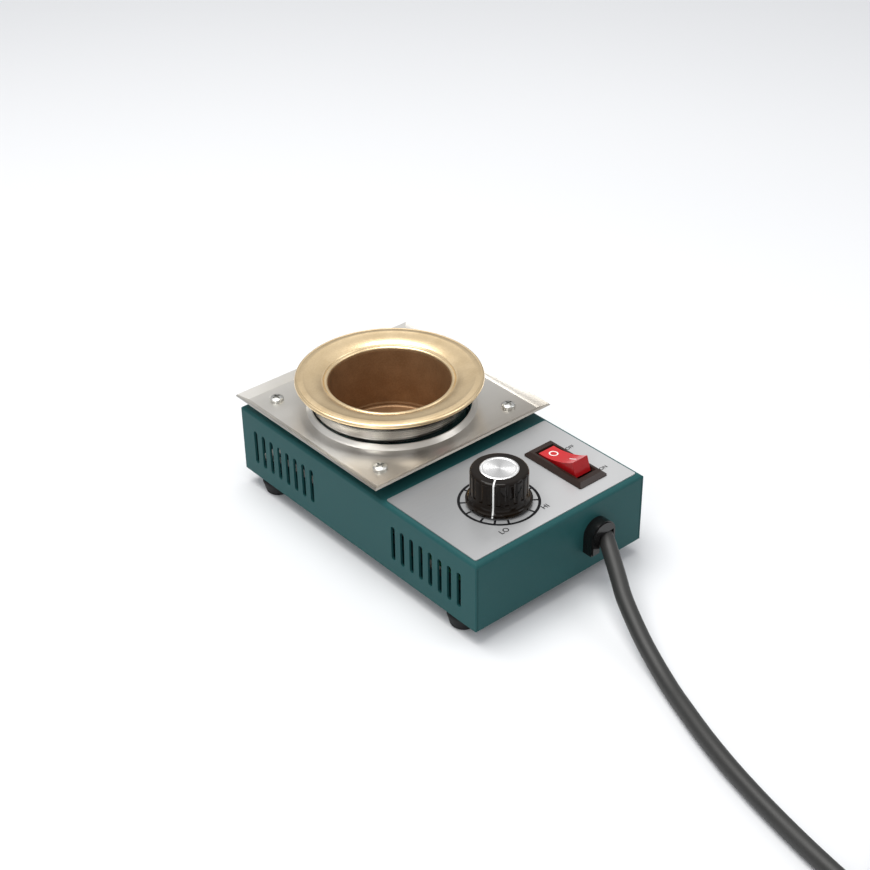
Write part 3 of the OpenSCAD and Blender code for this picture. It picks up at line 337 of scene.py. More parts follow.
@dataclass(frozen=True)
class Plain:
    """A surface of one colour with soft patches, grain and a fine bump."""

    colour: tuple[float, float, float]
    rough: float = 0.5
    metallic: float = 0.0
    vary: float = 0.12
    patch_scale: float = 60.0
    grain_scale: float = 1500.0
    bump_mm: float = 0.01
    coat: float = 0.0
    coat_rough: float = 0.1
    specular: float = 0.5

    def make(self, name: str, shared: Shared) -> bpy.types.Material:
        """Builds the material.

        Args:
            name: Its name.
            shared: The shared node groups.

        Returns:
            The material.
        """
        material, g, shader = new_material(name)
        mottle = g.group(shared.mottle, Scale=self.patch_scale, Grain=self.grain_scale).outputs["Value"]
        darker = tuple(c * (1 - self.vary) for c in self.colour)
        lighter = tuple(min(1.0, c * (1 + self.vary)) for c in self.colour)
        g.feed(shader.inputs["Base Color"], g.mix(g.span(mottle, 0.35, 0.65), darker, lighter))
        rough = g.span(mottle, 0.3, 0.7, self.rough * 0.9, min(1.0, self.rough * 1.1))
        g.feed(shader.inputs["Roughness"], rough)
        shader.inputs["Metallic"].default_value = self.metallic
        shader.inputs["Coat Weight"].default_value = self.coat
        shader.inputs["Coat Roughness"].default_value = self.coat_rough
        shader.inputs["Specular IOR Level"].default_value = self.specular
        g.feed(shader.inputs["Normal"], g.bump(mottle, self.bump_mm * MM))
        return material


class Look(Enum):
    """The plain finishes, one for each kind of stuff."""

    BASE = Plain((0.05, 0.075, 0.08), rough=0.45, coat=0.2)
    RUBBER = Plain((0.012, 0.012, 0.013), rough=0.75, bump_mm=0.03, specular=0.3)
    ZINC = Plain((0.55, 0.55, 0.53), rough=0.28, metallic=1.0, vary=0.1, bump_mm=0.004)
    MICA = Plain((0.32, 0.28, 0.2), rough=0.6, vary=0.3)
    FIBRE = Plain((0.8, 0.78, 0.7), rough=0.95, bump_mm=0.2, patch_scale=300.0)
    BRACKET = Plain((0.5, 0.51, 0.52), rough=0.35, metallic=1.0)
    SLEEVE = Plain((0.82, 0.8, 0.74), rough=0.8, bump_mm=0.06, grain_scale=2500.0)
    WHITE = Plain((0.78, 0.75, 0.66), rough=0.5)
    BRASS = Plain((0.75, 0.56, 0.24), rough=0.3, metallic=1.0, vary=0.15)
    BLACK = Plain((0.006, 0.006, 0.006), rough=0.2, coat=0.15, coat_rough=0.08, bump_mm=0.004, specular=0.3)
    CONTROL = Plain((0.45, 0.46, 0.47), rough=0.38, metallic=1.0)
    FINS = Plain((0.5, 0.5, 0.51), rough=0.45, metallic=1.0)
    FILM = Plain((0.72, 0.47, 0.08), rough=0.4, coat=0.3)
    RESISTOR = Plain((0.42, 0.25, 0.12), rough=0.5)
    BROWN = Plain((0.16, 0.06, 0.025), rough=0.4)
    BLUE = Plain((0.04, 0.14, 0.4), rough=0.4)
    GREEN = Plain((0.16, 0.36, 0.05), rough=0.4)
    RED_WIRE = Plain((0.45, 0.04, 0.025), rough=0.4)
    LEAD = Plain((0.021, 0.021, 0.02), rough=0.48, vary=0.1, bump_mm=0.012, patch_scale=40.0)
    PLUG = Plain((0.016, 0.016, 0.016), rough=0.5, bump_mm=0.02)
    PRINT_DARK = Plain((0.01, 0.01, 0.011), rough=0.6, vary=0.05, specular=0.08)
    PRINT_WHITE = Plain((0.82, 0.82, 0.8), rough=0.45, vary=0.04)


NODE_LOOKS: dict[str, Look] = {
    "base_plate": Look.BASE, "foot_front_left": Look.RUBBER, "foot_front_right": Look.RUBBER,
    "foot_rear_left": Look.RUBBER, "foot_rear_right": Look.RUBBER, "foot_screws": Look.ZINC,
    "tray_screws": Look.ZINC, "tray_spacers": Look.ZINC, "tray_nuts": Look.ZINC,
    "heater_band": Look.MICA, "heat_wrap": Look.FIBRE, "pot_insulator": Look.FIBRE,
    "pot_bracket": Look.BRACKET, "pot_bolt": Look.ZINC, "pot_washer": Look.ZINC,
    "bracket_screws": Look.ZINC, "bracket_nuts": Look.ZINC, "heater_lead_left": Look.SLEEVE,
    "heater_lead_right": Look.SLEEVE, "terminal_block": Look.WHITE, "terminal_screws": Look.BRASS,
    "switch_terminals": Look.BRASS, "knob_bush": Look.BRASS, "knob_grub_screw": Look.ZINC,
    "dial_shaft": Look.ZINC, "dial_control": Look.CONTROL, "dial_nut": Look.ZINC,
    "dial_washer": Look.ZINC, "dial_pins": Look.BRASS, "board_posts": Look.WHITE,
    "board_screws": Look.ZINC, "triac": Look.BLACK, "heat_sink": Look.FINS,
    "film_capacitor": Look.FILM, "resistors": Look.RESISTOR, "earth_screw": Look.ZINC,
    "earth_tag": Look.BRASS, "wire_live": Look.BROWN, "wire_neutral": Look.BLUE,
    "wire_earth": Look.GREEN, "wire_link": Look.RED_WIRE, "strain_relief": Look.BLACK,
    "plug": Look.PLUG, "plug_pins": Look.BRASS,
}


def teal_paint(shared: Shared) -> bpy.types.Material:
    """Satin teal enamel with a fine orange peel, and a painted sheen that lightens it at grazing angles."""
    material, g, shader = new_material("teal_paint")
    mottle = g.group(shared.mottle, Scale=25.0, Grain=700.0, Share=0.3).outputs["Value"]
    facing = g.add("ShaderNodeLayerWeight", {"Blend": 0.35}).outputs["Facing"]
    body = g.mix(g.span(mottle, 0.3, 0.7), (0.014, 0.072, 0.074), (0.018, 0.081, 0.083))
    # Painted sheen: the colour is blended towards a paler teal where the surface is seen at a grazing
    # angle.
    g.feed(shader.inputs["Base Color"], g.mix(g.math("MULTIPLY", facing, 0.2), body, (0.03, 0.12, 0.125)))
    g.feed(shader.inputs["Roughness"], g.span(mottle, 0.3, 0.7, 0.38, 0.46))
    shader.inputs["Specular IOR Level"].default_value = 0.1
    shader.inputs["Coat Weight"].default_value = 0.03
    shader.inputs["Coat Roughness"].default_value = 0.15
    peel = g.noise(g.place(), 1800.0, 2.0)
    g.feed(shader.inputs["Normal"], g.bump(peel, 0.008 * MM))
    return material


def panel_metal(shared: Shared) -> bpy.types.Material:
    """Satin grey panel with painted shading: its grey runs softly from dark to light across it."""
    material, g, shader = new_material("panel_metal")
    brushed = g.group(shared.brushed, Fine=6000.0, Drift=60.0)
    x, y, _ = g.parts(g.place())
    across = g.math("ADD", g.math("MULTIPLY", x, 0.5), g.math("MULTIPLY", y, -0.9))
    # Painted shading: the grey goes from dark to light towards +X and -Y, standing in for how the light
    # falls on the panel.
    painted_shading = g.span(across, 0.005, 0.075)
    tone = g.mix(painted_shading, (0.27, 0.275, 0.28), (0.56, 0.565, 0.57))
    shine = g.math("MULTIPLY", brushed.outputs["Lines"], 0.12)
    g.feed(shader.inputs["Base Color"], g.mix(shine, tone, (0.7, 0.7, 0.7)))
    g.feed(shader.inputs["Roughness"], g.span(brushed.outputs["Cloud"], 0.3, 0.7, 0.34, 0.42))
    shader.inputs["Metallic"].default_value = 0.45
    g.feed(shader.inputs["Normal"], g.bump(brushed.outputs["Lines"], 0.003 * MM))
    return material


def tray_steel(shared: Shared) -> bpy.types.Material:
    """Brushed stainless sheet, warm in tone, with a painted reflection that darkens and browns it towards
    the front (-Y).
    """
    material, g, shader = new_material("tray_steel")
    brushed = g.group(shared.brushed, Fine=4600.0, Drift=45.0)
    lines, cloud = brushed.outputs["Lines"], brushed.outputs["Cloud"]
    _, y, _ = g.parts(g.place())
    sheet = g.mix(g.span(cloud, 0.3, 0.7), (0.62, 0.6, 0.56), (0.74, 0.72, 0.68))
    # Painted reflection: the sheet is blended towards a dark bronze as Y falls towards the front edge.
    tone = g.mix(g.span(y, 0.015, -0.022, 0.0, 0.72), sheet, (0.3, 0.26, 0.21))
    g.feed(shader.inputs["Base Color"], g.mix(g.math("MULTIPLY", lines, 0.25), tone, (0.74, 0.72, 0.68)))
    g.feed(shader.inputs["Roughness"], g.span(lines, 0.3, 0.7, 0.3, 0.38))
    shader.inputs["Metallic"].default_value = 1.0
    shader.inputs["Anisotropic"].default_value = 0.6
    tangent = g.add("ShaderNodeTangent", direction_type="RADIAL", axis="X")
    g.feed(shader.inputs["Tangent"], tangent.outputs[0])
    g.feed(shader.inputs["Normal"], g.bump(lines, 0.004 * MM))
    return material


def shell_steel(shared: Shared, axis: Vector) -> bpy.types.Material:
    """Spun stainless with turning lines round the pot's axis, and painted reflection: broad light and dark
    bands round the axis.
    """
    material, g, shader = new_material("shell_steel")
    spun = g.group(shared.spun, X=axis.x, Y=axis.y, Fine=5200.0)
    lines, angle = spun.outputs["Lines"], spun.outputs["Angle"]
    around = g.joined(g.math("COSINE", angle), g.math("SINE", angle), 0.0)
    # Painted reflection: broad light and dark bands by angle round the axis, standing in for the studio
    # mirrored in the steel.
    painted_reflection = g.span(g.noise(around, 2.6, 2.0), 0.38, 0.6)
    tone = g.mix(painted_reflection, (0.6, 0.58, 0.55), (1.0, 0.99, 0.97))
    g.feed(shader.inputs["Base Color"], g.mix(g.math("MULTIPLY", lines, 0.25), tone, (0.76, 0.74, 0.71)))
    g.feed(shader.inputs["Roughness"], g.span(lines, 0.3, 0.7, 0.16, 0.26))
    shader.inputs["Metallic"].default_value = 1.0
    shader.inputs["Anisotropic"].default_value = 0.5
    tangent = g.add("ShaderNodeTangent", direction_type="RADIAL", axis="Z")
    g.feed(shader.inputs["Tangent"], tangent.outputs[0])
    g.feed(shader.inputs["Normal"], g.bump(lines, 0.004 * MM))
    return material


def crucible_gold(shared: Shared, axis: Vector) -> bpy.types.Material:
    """Satin gold on the rim, heat-browned inside the bowl."""
    material, g, shader = new_material("crucible_gold")
    spun = g.group(shared.spun, X=axis.x, Y=axis.y, Fine=3000.0)
    mottle = g.group(shared.mottle, Scale=110.0, Grain=1400.0, Share=0.4).outputs["Value"]
    radius, lines = spun.outputs["Radius"], spun.outputs["Lines"]
    _, _, z = g.parts(g.place())
    rim = g.mix(g.span(mottle, 0.3, 0.7), (0.8, 0.61, 0.36), (0.9, 0.71, 0.45))
    bowl = g.mix(g.span(mottle, 0.3, 0.7), (0.27, 0.15, 0.07), (0.38, 0.225, 0.115))
    inside = g.math("MULTIPLY", g.span(radius, MOUTH_RADIUS + 1.2 * MM, MOUTH_RADIUS + 0.2 * MM),
                    g.span(z, MOUTH_HEIGHT, MOUTH_HEIGHT - 2 * MM))
    g.feed(shader.inputs["Base Color"], g.mix(inside, rim, bowl))
    rim_rough = g.span(mottle, 0.3, 0.7, 0.28, 0.34)
    g.feed(shader.inputs["Roughness"], g.math("ADD", rim_rough, g.math("MULTIPLY", inside, 0.12)))
    g.feed(shader.inputs["Metallic"], g.math("SUBTRACT", 1.0, g.math("MULTIPLY", inside, 0.45)))
    height = g.blend(0.3, lines, mottle)
    g.feed(shader.inputs["Normal"], g.bump(height, 0.006 * MM))
    return material


def knob_plastic(shared: Shared) -> bpy.types.Material:
    """Glossy brown plastic with a painted glow: amber in patches where its edges are seen at a grazing
    angle, standing in for light through the thin plastic.
    """
    material, g, shader = new_material("knob_plastic")
    facing = g.add("ShaderNodeLayerWeight", {"Blend": 0.3}).outputs["Facing"]
    mottle = g.group(shared.mottle, Scale=90.0, Grain=1200.0).outputs["Value"]
    deep = g.mix(g.span(mottle, 0.3, 0.7), (0.004, 0.0025, 0.002), (0.009, 0.005, 0.002))
    patches = g.span(g.noise(g.place(), 170.0, 2.0), 0.44, 0.6)
    share = g.math("ADD", g.math("MULTIPLY", patches, 0.75), 0.15)
    # Painted glow: amber is mixed in, in patches, where the surface is seen edge-on, for light shining
    # through the plastic.
    amber = g.math("MULTIPLY", g.span(facing, 0.3, 0.85), share)
    g.feed(shader.inputs["Base Color"], g.mix(amber, deep, (0.14, 0.075, 0.014)))
    g.feed(shader.inputs["Roughness"], g.span(mottle, 0.3, 0.7, 0.08, 0.14))
    shader.inputs["Specular IOR Level"].default_value = 0.12
    shader.inputs["Coat Weight"].default_value = 0.14
    shader.inputs["Coat Roughness"].default_value = 0.05
    g.feed(shader.inputs["Normal"], g.bump(mottle, 0.004 * MM))
    return material


def cap_metal(shared: Shared, axis: Vector) -> bpy.types.Material:
    """Spun bright cap with turning lines, an anisotropic shine, and two painted highlight wedges in its
    colour.
    """
    material, g, shader = new_material("cap_metal")
    spun = g.group(shared.spun, X=axis.x, Y=axis.y, Fine=6500.0)
    lines, angle = spun.outputs["Lines"], spun.outputs["Angle"]
    # Painted highlight: two bright wedges by angle round the cap's axis, lightening its colour.
    wedge = g.math("ABSOLUTE", g.math("COSINE", g.math("ADD", angle, 0.75)))
    tone = g.mix(g.span(wedge, 0.0, 0.9), (0.78, 0.78, 0.78), (1.0, 1.0, 1.0))
    g.feed(shader.inputs["Base Color"], g.mix(g.math("MULTIPLY", lines, 0.3), tone, (0.8, 0.8, 0.8)))
    g.feed(shader.inputs["Roughness"], g.span(lines, 0.3, 0.7, 0.22, 0.34))
    shader.inputs["Metallic"].default_value = 1.0
    shader.inputs["Anisotropic"].default_value = 0.85
    tangent = g.add("ShaderNodeTangent", direction_type="RADIAL", axis="Z")
    g.feed(shader.inputs["Tangent"], tangent.outputs[0])
    g.feed(shader.inputs["Normal"], g.bump(lines, 0.004 * MM))
    return material


def rocker_plastic(shared: Shared) -> bpy.types.Material:
    """Glossy red plastic with painted light: lighter where it faces up."""
    material, g, shader = new_material("rocker_plastic")
    mottle = g.group(shared.mottle, Scale=120.0, Grain=1500.0).outputs["Value"]
    # Painted light: the red is lighter on surfaces that face up and darker on those that face sideways.
    normal = g.add("ShaderNodeNewGeometry").outputs["Normal"]
    _, _, up = g.parts(normal)
    tone = g.mix(g.span(up, 0.2, 1.0), (0.36, 0.006, 0.009), (0.52, 0.016, 0.02))
    g.feed(shader.inputs["Base Color"], g.mix(g.math("MULTIPLY", mottle, 0.2), tone, (0.56, 0.022, 0.024)))
    shader.inputs["Roughness"].default_value = 0.22
    shader.inputs["Specular IOR Level"].default_value = 0.25
    shader.inputs["Coat Weight"].default_value = 0.15
    shader.inputs["Coat Roughness"].default_value = 0.08
    shader.inputs["Subsurface Weight"].default_value = 0.1
    shader.inputs["Subsurface Radius"].default_value = (0.002, 0.0005, 0.0004)
    g.feed(shader.inputs["Normal"], g.bump(mottle, 0.003 * MM))
    return material


def bezel_plastic(shared: Shared) -> bpy.types.Material:
    """Glossy brown-black plastic."""
    finish = Plain((0.022, 0.011, 0.008), rough=0.26, coat=0.06, coat_rough=0.08, bump_mm=0.004,
                   specular=0.25)
    return finish.make("bezel_plastic", shared)


def lamp_glass(shared: Shared) -> bpy.types.Material:
    """Orange neon glass, unlit."""
    return Plain((0.8, 0.25, 0.06), rough=0.08, coat=1.0, coat_rough=0.02).make("lamp_glass", shared)


def board_laminate(shared: Shared) -> bpy.types.Material:
    """Green circuit board with faint copper tracks under its lacquer."""
    material, g, shader = new_material("board_laminate")
    bricks = g.add("ShaderNodeTexBrick", {"Vector": g.place(), "Scale": 260.0, "Mortar Size": 0.03})
    tone = g.mix(bricks.outputs["Fac"], (0.02, 0.14, 0.05), (0.06, 0.25, 0.09))
    g.feed(shader.inputs["Base Color"], tone)
    shader.inputs["Roughness"].default_value = 0.3
    mottle = g.group(shared.mottle).outputs["Value"]
    g.feed(shader.inputs["Normal"], g.bump(mottle, 0.01 * MM))
    return material


# --------------------------------------------------------------------------------------
# Meshes
# --------------------------------------------------------------------------------------


def mesh_object(name: str, points: np.ndarray, faces: Sequence[Sequence[int]],
                smooth: bool = False) -> bpy.types.Object:
    """Makes a mesh object.

    Args:
        name: The piece's name.
        points: Vertices, one row each, in metres.
        faces: Vertex numbers of each face.
        smooth: Whether its faces are shaded smooth.

    Returns:
        The linked object.
    """
    data = bpy.data.meshes.new(name)
    data.from_pydata(np.asarray(points, float).tolist(), [], [list(map(int, f)) for f in faces])
    data.update()
    data.polygons.foreach_set("use_smooth", [smooth] * len(data.polygons))
    made = bpy.data.objects.new(name, data)
    bpy.context.scene.collection.objects.link(made)
    return made


def grid_faces(rows: int, columns: int, closed: bool = False) -> list[tuple[int, int, int, int]]:
    """Lists the quads over a grid of points.

    Args:
        rows: How many rows the points have.
        columns: How many points a row has.
        closed: Whether each row closes on itself.

    Returns:
        Four vertex numbers for each quad.
    """
    faces = []
    for row in range(rows - 1):
        for c in range(columns if closed else columns - 1):
            low, high = row * columns, (row + 1) * columns
            after = (c + 1) % columns
            faces.append((low + c, low + after, high + after, high + c))
    return faces


def smooth_path(points: Sequence[Point], steps: int) -> np.ndarray:
    """Returns a Catmull-Rom curve through points, with steps points for each stretch."""
    p = np.array(points, float)
    ends = np.vstack([2 * p[0] - p[1], p, 2 * p[-1] - p[-2]])
    t = np.arange(steps)[:, None] / steps
    out = []
    for a, b, c, d in zip(ends, ends[1:], ends[2:], ends[3:]):
        out.append(0.5 * (2 * b + (c - a) * t + (2 * a - 5 * b + 4 * c - d) * t**2
                          + (3 * b - a - 3 * c + d) * t**3))
    return np.vstack([*out, p[-1:]])


def ease(t: float) -> float:
    """Smooth step from 0 to 1."""
    t = min(max(t, 0.0), 1.0)
    return t * t * (3 - 2 * t)


# --------------------------------------------------------------------------------------
# Mains lead
# --------------------------------------------------------------------------------------


@dataclass(frozen=True)
class MainsLead:
    """The mains lead: out of the strain relief, over the bench, round its coil and into its plug."""

    diameter: float = 0.0064
    route: tuple[Point, ...] = (
        (0.0202, -0.075, 0.022), (0.0173, -0.0806, 0.0198), (0.0139, -0.0866, 0.0174),
        (0.0105, -0.0925, 0.015), (0.007, -0.0984, 0.0127), (0.004, -0.1047, 0.0105),
        (0.0011, -0.1112, 0.0085), (-0.0017, -0.1178, 0.0067), (-0.0044, -0.1248, 0.0051),
        (-0.0071, -0.1319, 0.0038), (-0.01, -0.1392, 0.0032), (-0.013, -0.1468, 0.0032),
        (-0.0186, -0.1618, 0.0032), (-0.0234, -0.177, 0.0032), (-0.0274, -0.1924, 0.0032),
        (-0.0308, -0.208, 0.0032), (-0.0336, -0.2236, 0.0032), (-0.0358, -0.2394, 0.0032),
        (-0.0372, -0.2552, 0.0032), (-0.0376, -0.269, 0.0032), (-0.0376, -0.282, 0.0032),
    )
    tail: tuple[Point, ...] = (
        (0.004, -0.3236, 0.0096), (0.009, -0.3236, 0.0095), (0.014, -0.3236, 0.0091),
        (0.019, -0.3236, 0.0084), (0.024, -0.3236, 0.0077), (0.03, -0.3236, 0.0075),
    )
    coil_centre: tuple[float, float] = (0.004, -0.282)
    outer_turn: float = 0.0416
    winding_deg: tuple[int, int] = (186, 2070)
    step_deg: int = 6
    inwards_deg: tuple[int, int] = (390, 750)
    outwards_deg: tuple[int, int] = (1290, 1650)
    shift_deg: float = 150
    climb_from_deg: float = 1080
    climb_deg: float = 120
    length: float = 1.42

    def coil(self) -> np.ndarray:
        """Returns the coil's turns: three wound inwards on the bench, then outwards on top of them."""
        d = self.diameter
        points = []
        for degrees in range(*self.winding_deg, self.step_deg):
            inwards = sum(ease((degrees - start) / self.shift_deg) for start in self.inwards_deg)
            outwards = sum(ease((degrees - start) / self.shift_deg) for start in self.outwards_deg)
            radius = self.outer_turn - d * (inwards - outwards)
            rise = d / 2 + d * ease((degrees - self.climb_from_deg) / self.climb_deg)
            a = math.radians(degrees)
            points.append((self.coil_centre[0] + radius * math.cos(a),
                           self.coil_centre[1] + radius * math.sin(a), rise))
        return np.array(points)

    def line(self) -> np.ndarray:
        """Returns the whole centreline."""
        return np.vstack([smooth_path(self.route, 6), self.coil(), smooth_path(self.tail, 6)])

    def make(self, material: bpy.types.Material) -> bpy.types.Object:
        line = self.line()
        data = bpy.data.curves.new("lead", "CURVE")
        data.dimensions = "3D"
        data.bevel_depth = self.diameter / 2
        data.bevel_resolution = 6
        data.use_fill_caps = True
        spline = data.splines.new("POLY")
        spline.points.add(len(line) - 1)
        spline.points.foreach_set("co", np.hstack([line, np.ones((len(line), 1))]).ravel())
        spline.use_smooth = True
        lead = bpy.data.objects.new("lead", data)
        bpy.context.scene.collection.objects.link(lead)
        data.materials.append(material)
        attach(lead, "housing")
        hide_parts("mains_cord", "cord_coil", "cord_tail")
        drawn = float(np.linalg.norm(np.diff(line, axis=0), axis=1).sum())
        log.info("lead: %.3f m", drawn)
        return lead


# --------------------------------------------------------------------------------------
# Printed marks
# --------------------------------------------------------------------------------------


@dataclass
class DialPrint:
    """The marks round the dial: a ring and ticks that point inwards from it."""

    centre: Vector
    surface: float
    ring_outer: float = 15.85 * MM
    ring_inner: float = 14.75 * MM
    tick_inner: float = 12.7 * MM
    tick_width: float = 0.85 * MM
    ticks_deg: tuple[float, ...] = (-118, -139, -160, -188, -216, -250, -280, -309, -338, -368, -399, -430)

    def ring(self) -> tuple[np.ndarray, list]:
        """Returns the ring's points and faces."""
        angles = np.linspace(0, 2 * np.pi, 144, endpoint=False)
        rows = [np.stack([r * np.cos(angles), r * np.sin(angles), 0 * angles], 1)
                for r in (self.ring_outer, self.ring_inner)]
        faces = [f[::-1] for f in grid_faces(2, len(angles), closed=True)]
        return np.vstack(rows), faces

    def tick(self, degrees: float) -> np.ndarray:
        """Returns the four corners of one tick."""
        a = math.radians(degrees)
        along, side = np.array([math.cos(a), math.sin(a), 0]), np.array([-math.sin(a), math.cos(a), 0])
        half = side * self.tick_width / 2
        near, far = along * self.tick_inner, along * (self.ring_inner + 0.1 * MM)
        return np.array([near - half, far - half, far + half, near + half])

    def make(self, material: bpy.types.Material) -> bpy.types.Object:
        """Creates the ring with its ticks."""
        points, faces = self.ring()
        for degrees in self.ticks_deg:
            start = len(points)
            points = np.vstack([points, self.tick(degrees)])
            faces.append(tuple(range(start, start + 4)))
        points = points + np.array([self.centre.x, self.centre.y, self.surface])
        made = mesh_object("dial_scale", points, faces)
        made.data.materials.append(material)
        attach(made, "housing")
        return made


@dataclass(frozen=True)
class Word:
    """A printed word that lies on the panel."""

    name: str
    text: str
    place: tuple[float, float]
    size: float

    def make(self, surface: float, material: bpy.types.Material) -> bpy.types.Object:
        """Creates the word as a flat mesh with its place in the mesh.

        Args:
            surface: Height of the surface that it lies on.
            material: Its ink.

        Returns:
            The word's object.
        """
        curve = bpy.data.curves.new(self.name, "FONT")
        curve.body = self.text
        curve.size = self.size
        curve.align_x = curve.align_y = "CENTER"
        curve.offset = self.size * 0.012
        curve.resolution_u = 6
        drawn = bpy.data.objects.new(self.name + "_curve", curve)
        data = bpy.data.meshes.new_from_object(drawn)
        bpy.data.objects.remove(drawn)
        bpy.data.curves.remove(curve)
        data.transform(Matrix.Translation((*self.place, surface)))
        data.name = self.name
        made = bpy.data.objects.new(self.name, data)
        bpy.context.scene.collection.objects.link(made)
        data.materials.append(material)
        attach(made, "housing")
        return made


WORDS = (
    Word("word_lo", "LO", (-0.0217, -0.0639), 3.3 * MM),
    Word("word_hi", "HI", (0.0002, -0.0628), 3.3 * MM),
    Word("word_off", "OFF", (0.0350, -0.0405), 2.4 * MM),
    Word("word_on", "ON", (0.0347, -0.0592), 2.4 * MM),
)


@dataclass
class Pointer:
    """The white line over the knob, from its cap down to the edge of its skirt."""

    centre: Vector
    profile: tuple[tuple[float, float], ...]
    angle_deg: float = 216.0
    width: float = 0.62 * MM
    lift: float = 0.04 * MM

    def make(self, material: bpy.types.Material) -> bpy.types.Object:
        """Creates the line as a strip that follows the knob's outline."""
        a = math.radians(self.angle_deg)
        along = np.array([math.cos(a), math.sin(a)])
        side = np.array([-math.sin(a), math.cos(a)]) * self.width / 2
        line = np.array(self.profile)
        slope = np.gradient(line, axis=0)
        normal = np.stack([slope[:, 1], -slope[:, 0]], 1)
        normal *= -self.lift / np.linalg.norm(normal, axis=1)[:, None]
        line = line + normal
        rows = []
        for r, z in line:
            for s in (-1, 1):
                flat = along * r + side * s + np.array([self.centre.x, self.centre.y])
                rows.append((flat[0], flat[1], z))
        made = mesh_object("pointer", np.array(rows), grid_faces(len(line), 2), smooth=True)
        made.data.materials.append(material)
        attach(made, "knob_body")
        return made


def knob_outline() -> tuple[tuple[float, float], ...]:
    """Returns the knob's outline from cap to skirt, as (radius, height) in metres."""
    low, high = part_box("knob")
    base, top = low.z, high.z
    skirt_r, body_r, round_r, cap_r = 12.8 * MM, 11.2 * MM, 1.3 * MM, 7.7 * MM
    skirt_z, flare, edge, foot = 1.3 * MM, 3.6 * MM, 0.3 * MM, 0.3 * MM
    points = [(cap_r, top), (cap_r + round_r, top)]
    for a in np.radians(np.linspace(0, 90, 7)):
        points.append((body_r - round_r + round_r * math.sin(a), top - round_r + round_r * math.cos(a)))
    points.append((body_r, base + skirt_z + flare))
    for share in (0.84, 0.67, 0.5, 0.34, 0.17, 0.02):
        a = math.pi / 2 * share
        points.append((skirt_r - edge - (skirt_r - body_r - edge) * math.sin(a),
                       base + skirt_z + flare * (1 - math.cos(a))))
    points += [(skirt_r, base + skirt_z - 0.1 * MM), (skirt_r, base + foot)]
    return tuple(points)


@dataclass
class RockerMarks:
    """The raised O and I on the rocker's hollowed top."""

    pivot: Vector
    tilt_deg: float = -14.4
    half_chord: float = 9.45 * MM
    rise: float = 5.8 * MM
    dish: float = 1.3 * MM
    lift: float = 0.03 * MM
    ring_at: float = 5.4 * MM
    ring_outer: float = 1.75 * MM
    ring_inner: float = 1.25 * MM
    ring_stretch: float = 1.15
    bar_ends: tuple[float, float] = (-7.4 * MM, -3.6 * MM)
    bar_half: float = 0.28 * MM

    def height(self, along: np.ndarray) -> np.ndarray:
        """Returns the top's height above the pivot at a distance along it, before it is tilted."""
        radius = (self.half_chord**2 + self.dish**2) / (2 * self.dish)
        return self.rise - self.dish + radius - np.sqrt(radius**2 - along**2) + self.lift

    def placed(self, across: np.ndarray, along: np.ndarray) -> np.ndarray:
        """Returns points on the tilted top."""
        up = self.height(along)
        t = math.radians(self.tilt_deg)
        y = along * math.cos(t) - up * math.sin(t)
        z = along * math.sin(t) + up * math.cos(t)
        return np.stack([self.pivot.x + across, self.pivot.y + y, self.pivot.z + z], 1)

    def make(self, material: bpy.types.Material) -> None:
        """Creates both marks."""
        angles = np.linspace(0, 2 * np.pi, 48, endpoint=False)
        rings = [self.placed(r * np.cos(angles), self.ring_at + r * self.ring_stretch * np.sin(angles))
                 for r in (self.ring_outer, self.ring_inner)]
        faces = [f[::-1] for f in grid_faces(2, len(angles), closed=True)]
        ring = mesh_object("mark_o", np.vstack(rings), faces)
        steps = np.linspace(*self.bar_ends, 6)
        rows = [self.placed(np.full(len(steps), side * self.bar_half), steps) for side in (-1, 1)]
        bar = mesh_object("mark_i", np.vstack(rows), [f[::-1] for f in grid_faces(2, len(steps))])
        for made in (ring, bar):
            made.data.materials.append(material)
            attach(made, "rocker_body")


# --------------------------------------------------------------------------------------
# Studio floor and world
# --------------------------------------------------------------------------------------


def make_floor(size: float = 6.0) -> bpy.types.Object:
    """Creates the pale floor."""
    half = size / 2
    points = np.array([(-half, -half, 0), (half, -half, 0), (half, half, 0), (-half, half, 0)])
    floor = mesh_object("floor", points, [(0, 1, 2, 3)])
    material, g, shader = new_material("floor")
    cloud = g.noise(g.place(), 3.0, 1.0)
    g.feed(shader.inputs["Base Color"], g.mix(cloud, (0.79, 0.8, 0.815), (0.82, 0.83, 0.845)))
    shader.inputs["Roughness"].default_value = 0.7
    shader.inputs["Specular IOR Level"].default_value = 0.2
    floor.data.materials.append(material)
    return floor


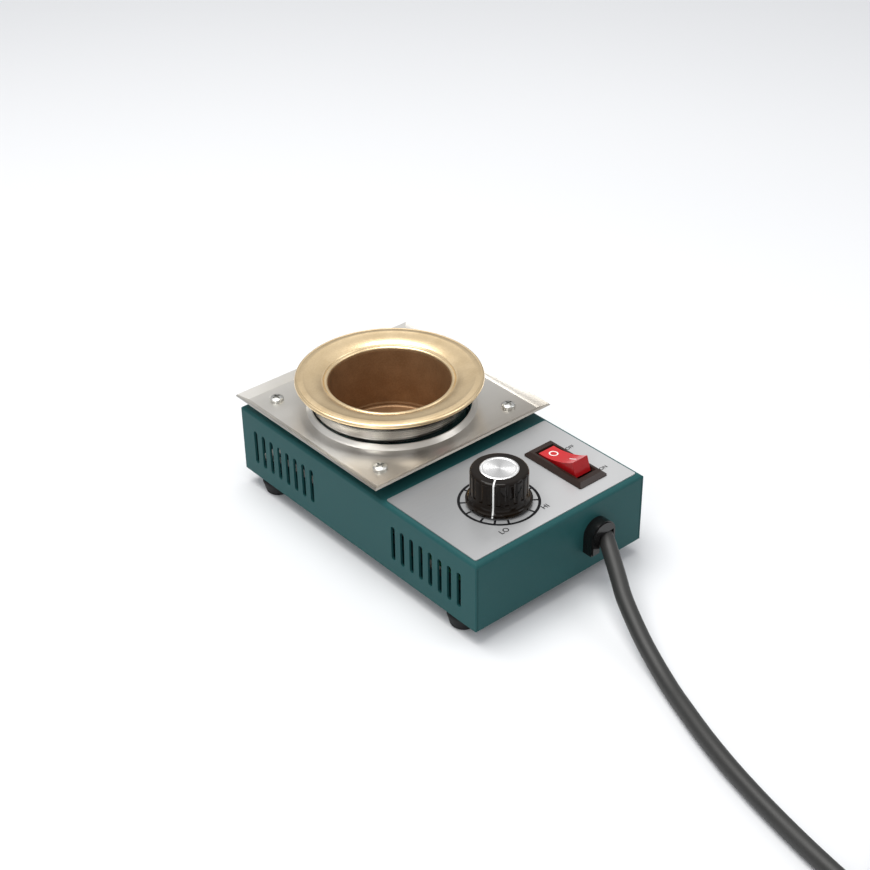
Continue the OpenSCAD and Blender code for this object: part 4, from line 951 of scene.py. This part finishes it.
def make_world() -> None:
    """Sets an even pale surround that metal sees with a soft fall-off towards the floor."""
    world = bpy.data.worlds.new("studio")
    bpy.context.scene.world = world
    world.use_nodes = True
    g = Graph(world.node_tree)
    background = world.node_tree.nodes["Background"]
    path = g.add("ShaderNodeLightPath")
    direction = g.add("ShaderNodeTexCoord").outputs["Generated"]
    x, y, z = g.parts(direction)
    lift = g.span(z, -0.1, 0.9)
    seen = g.mix(lift, (0.5, 0.5, 0.51), (1.7, 1.7, 1.7))
    g.feed(background.inputs["Color"], g.mix(path.outputs["Is Glossy Ray"], (0.96, 0.97, 1.0), seen))
    background.inputs["Strength"].default_value = 0.5


# --------------------------------------------------------------------------------------
# Assembly
# --------------------------------------------------------------------------------------


def paint(node: str, material: bpy.types.Material) -> None:
    """Gives a CAD node a material."""
    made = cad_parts[node]
    made.data.materials.clear()
    made.data.materials.append(material)


def middle(node: str) -> Vector:
    """Returns the middle of a CAD node's box."""
    low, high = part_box(node)
    return (low + high) / 2


def paint_nodes(shared: Shared) -> dict[Look, bpy.types.Material]:
    """Gives every CAD node its material, and returns the plain ones."""
    plain = {look: look.value.make(look.name.lower(), shared) for look in Look}
    for node, look in NODE_LOOKS.items():
        paint(node, plain[look])
    pot = middle("crucible")
    special: dict[str, Callable[[], bpy.types.Material]] = {
        "cover": lambda: teal_paint(shared),
        "control_panel": lambda: panel_metal(shared),
        "drip_tray": lambda: tray_steel(shared),
        "pot_shell": lambda: shell_steel(shared, middle("pot_shell")),
        "crucible": lambda: crucible_gold(shared, pot),
        "knob": lambda: knob_plastic(shared),
        "knob_cap": lambda: cap_metal(shared, middle("knob_cap")),
        "rocker": lambda: rocker_plastic(shared),
        "switch_body": lambda: bezel_plastic(shared),
        "switch_lamp": lambda: lamp_glass(shared),
        "control_board": lambda: board_laminate(shared),
    }
    for node, build in special.items():
        paint(node, build())
    return plain


def main() -> None:
    """Builds the whole scene."""
    logging.basicConfig(level=logging.INFO)
    scene = bpy.context.scene
    scene.view_settings.view_transform = "Standard"
    make_camera(Viewpoint())
    shared = Shared()
    plain = paint_nodes(shared)
    MainsLead().make(plain[Look.LEAD])
    make_world()
    make_floor()
    for light in LIGHTS:
        light.make()
    panel_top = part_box("control_panel")[1].z + PRINT_LIFT
    dial = middle("knob_cap")
    DialPrint(dial, panel_top).make(plain[Look.PRINT_DARK])
    for word in WORDS:
        word.make(panel_top, plain[Look.PRINT_DARK])
    Pointer(dial, knob_outline()).make(plain[Look.PRINT_WHITE])
    RockerMarks(Vector(ROCKER_PIVOT)).make(plain[Look.PRINT_WHITE])


if __name__ == "__main__":
    main()
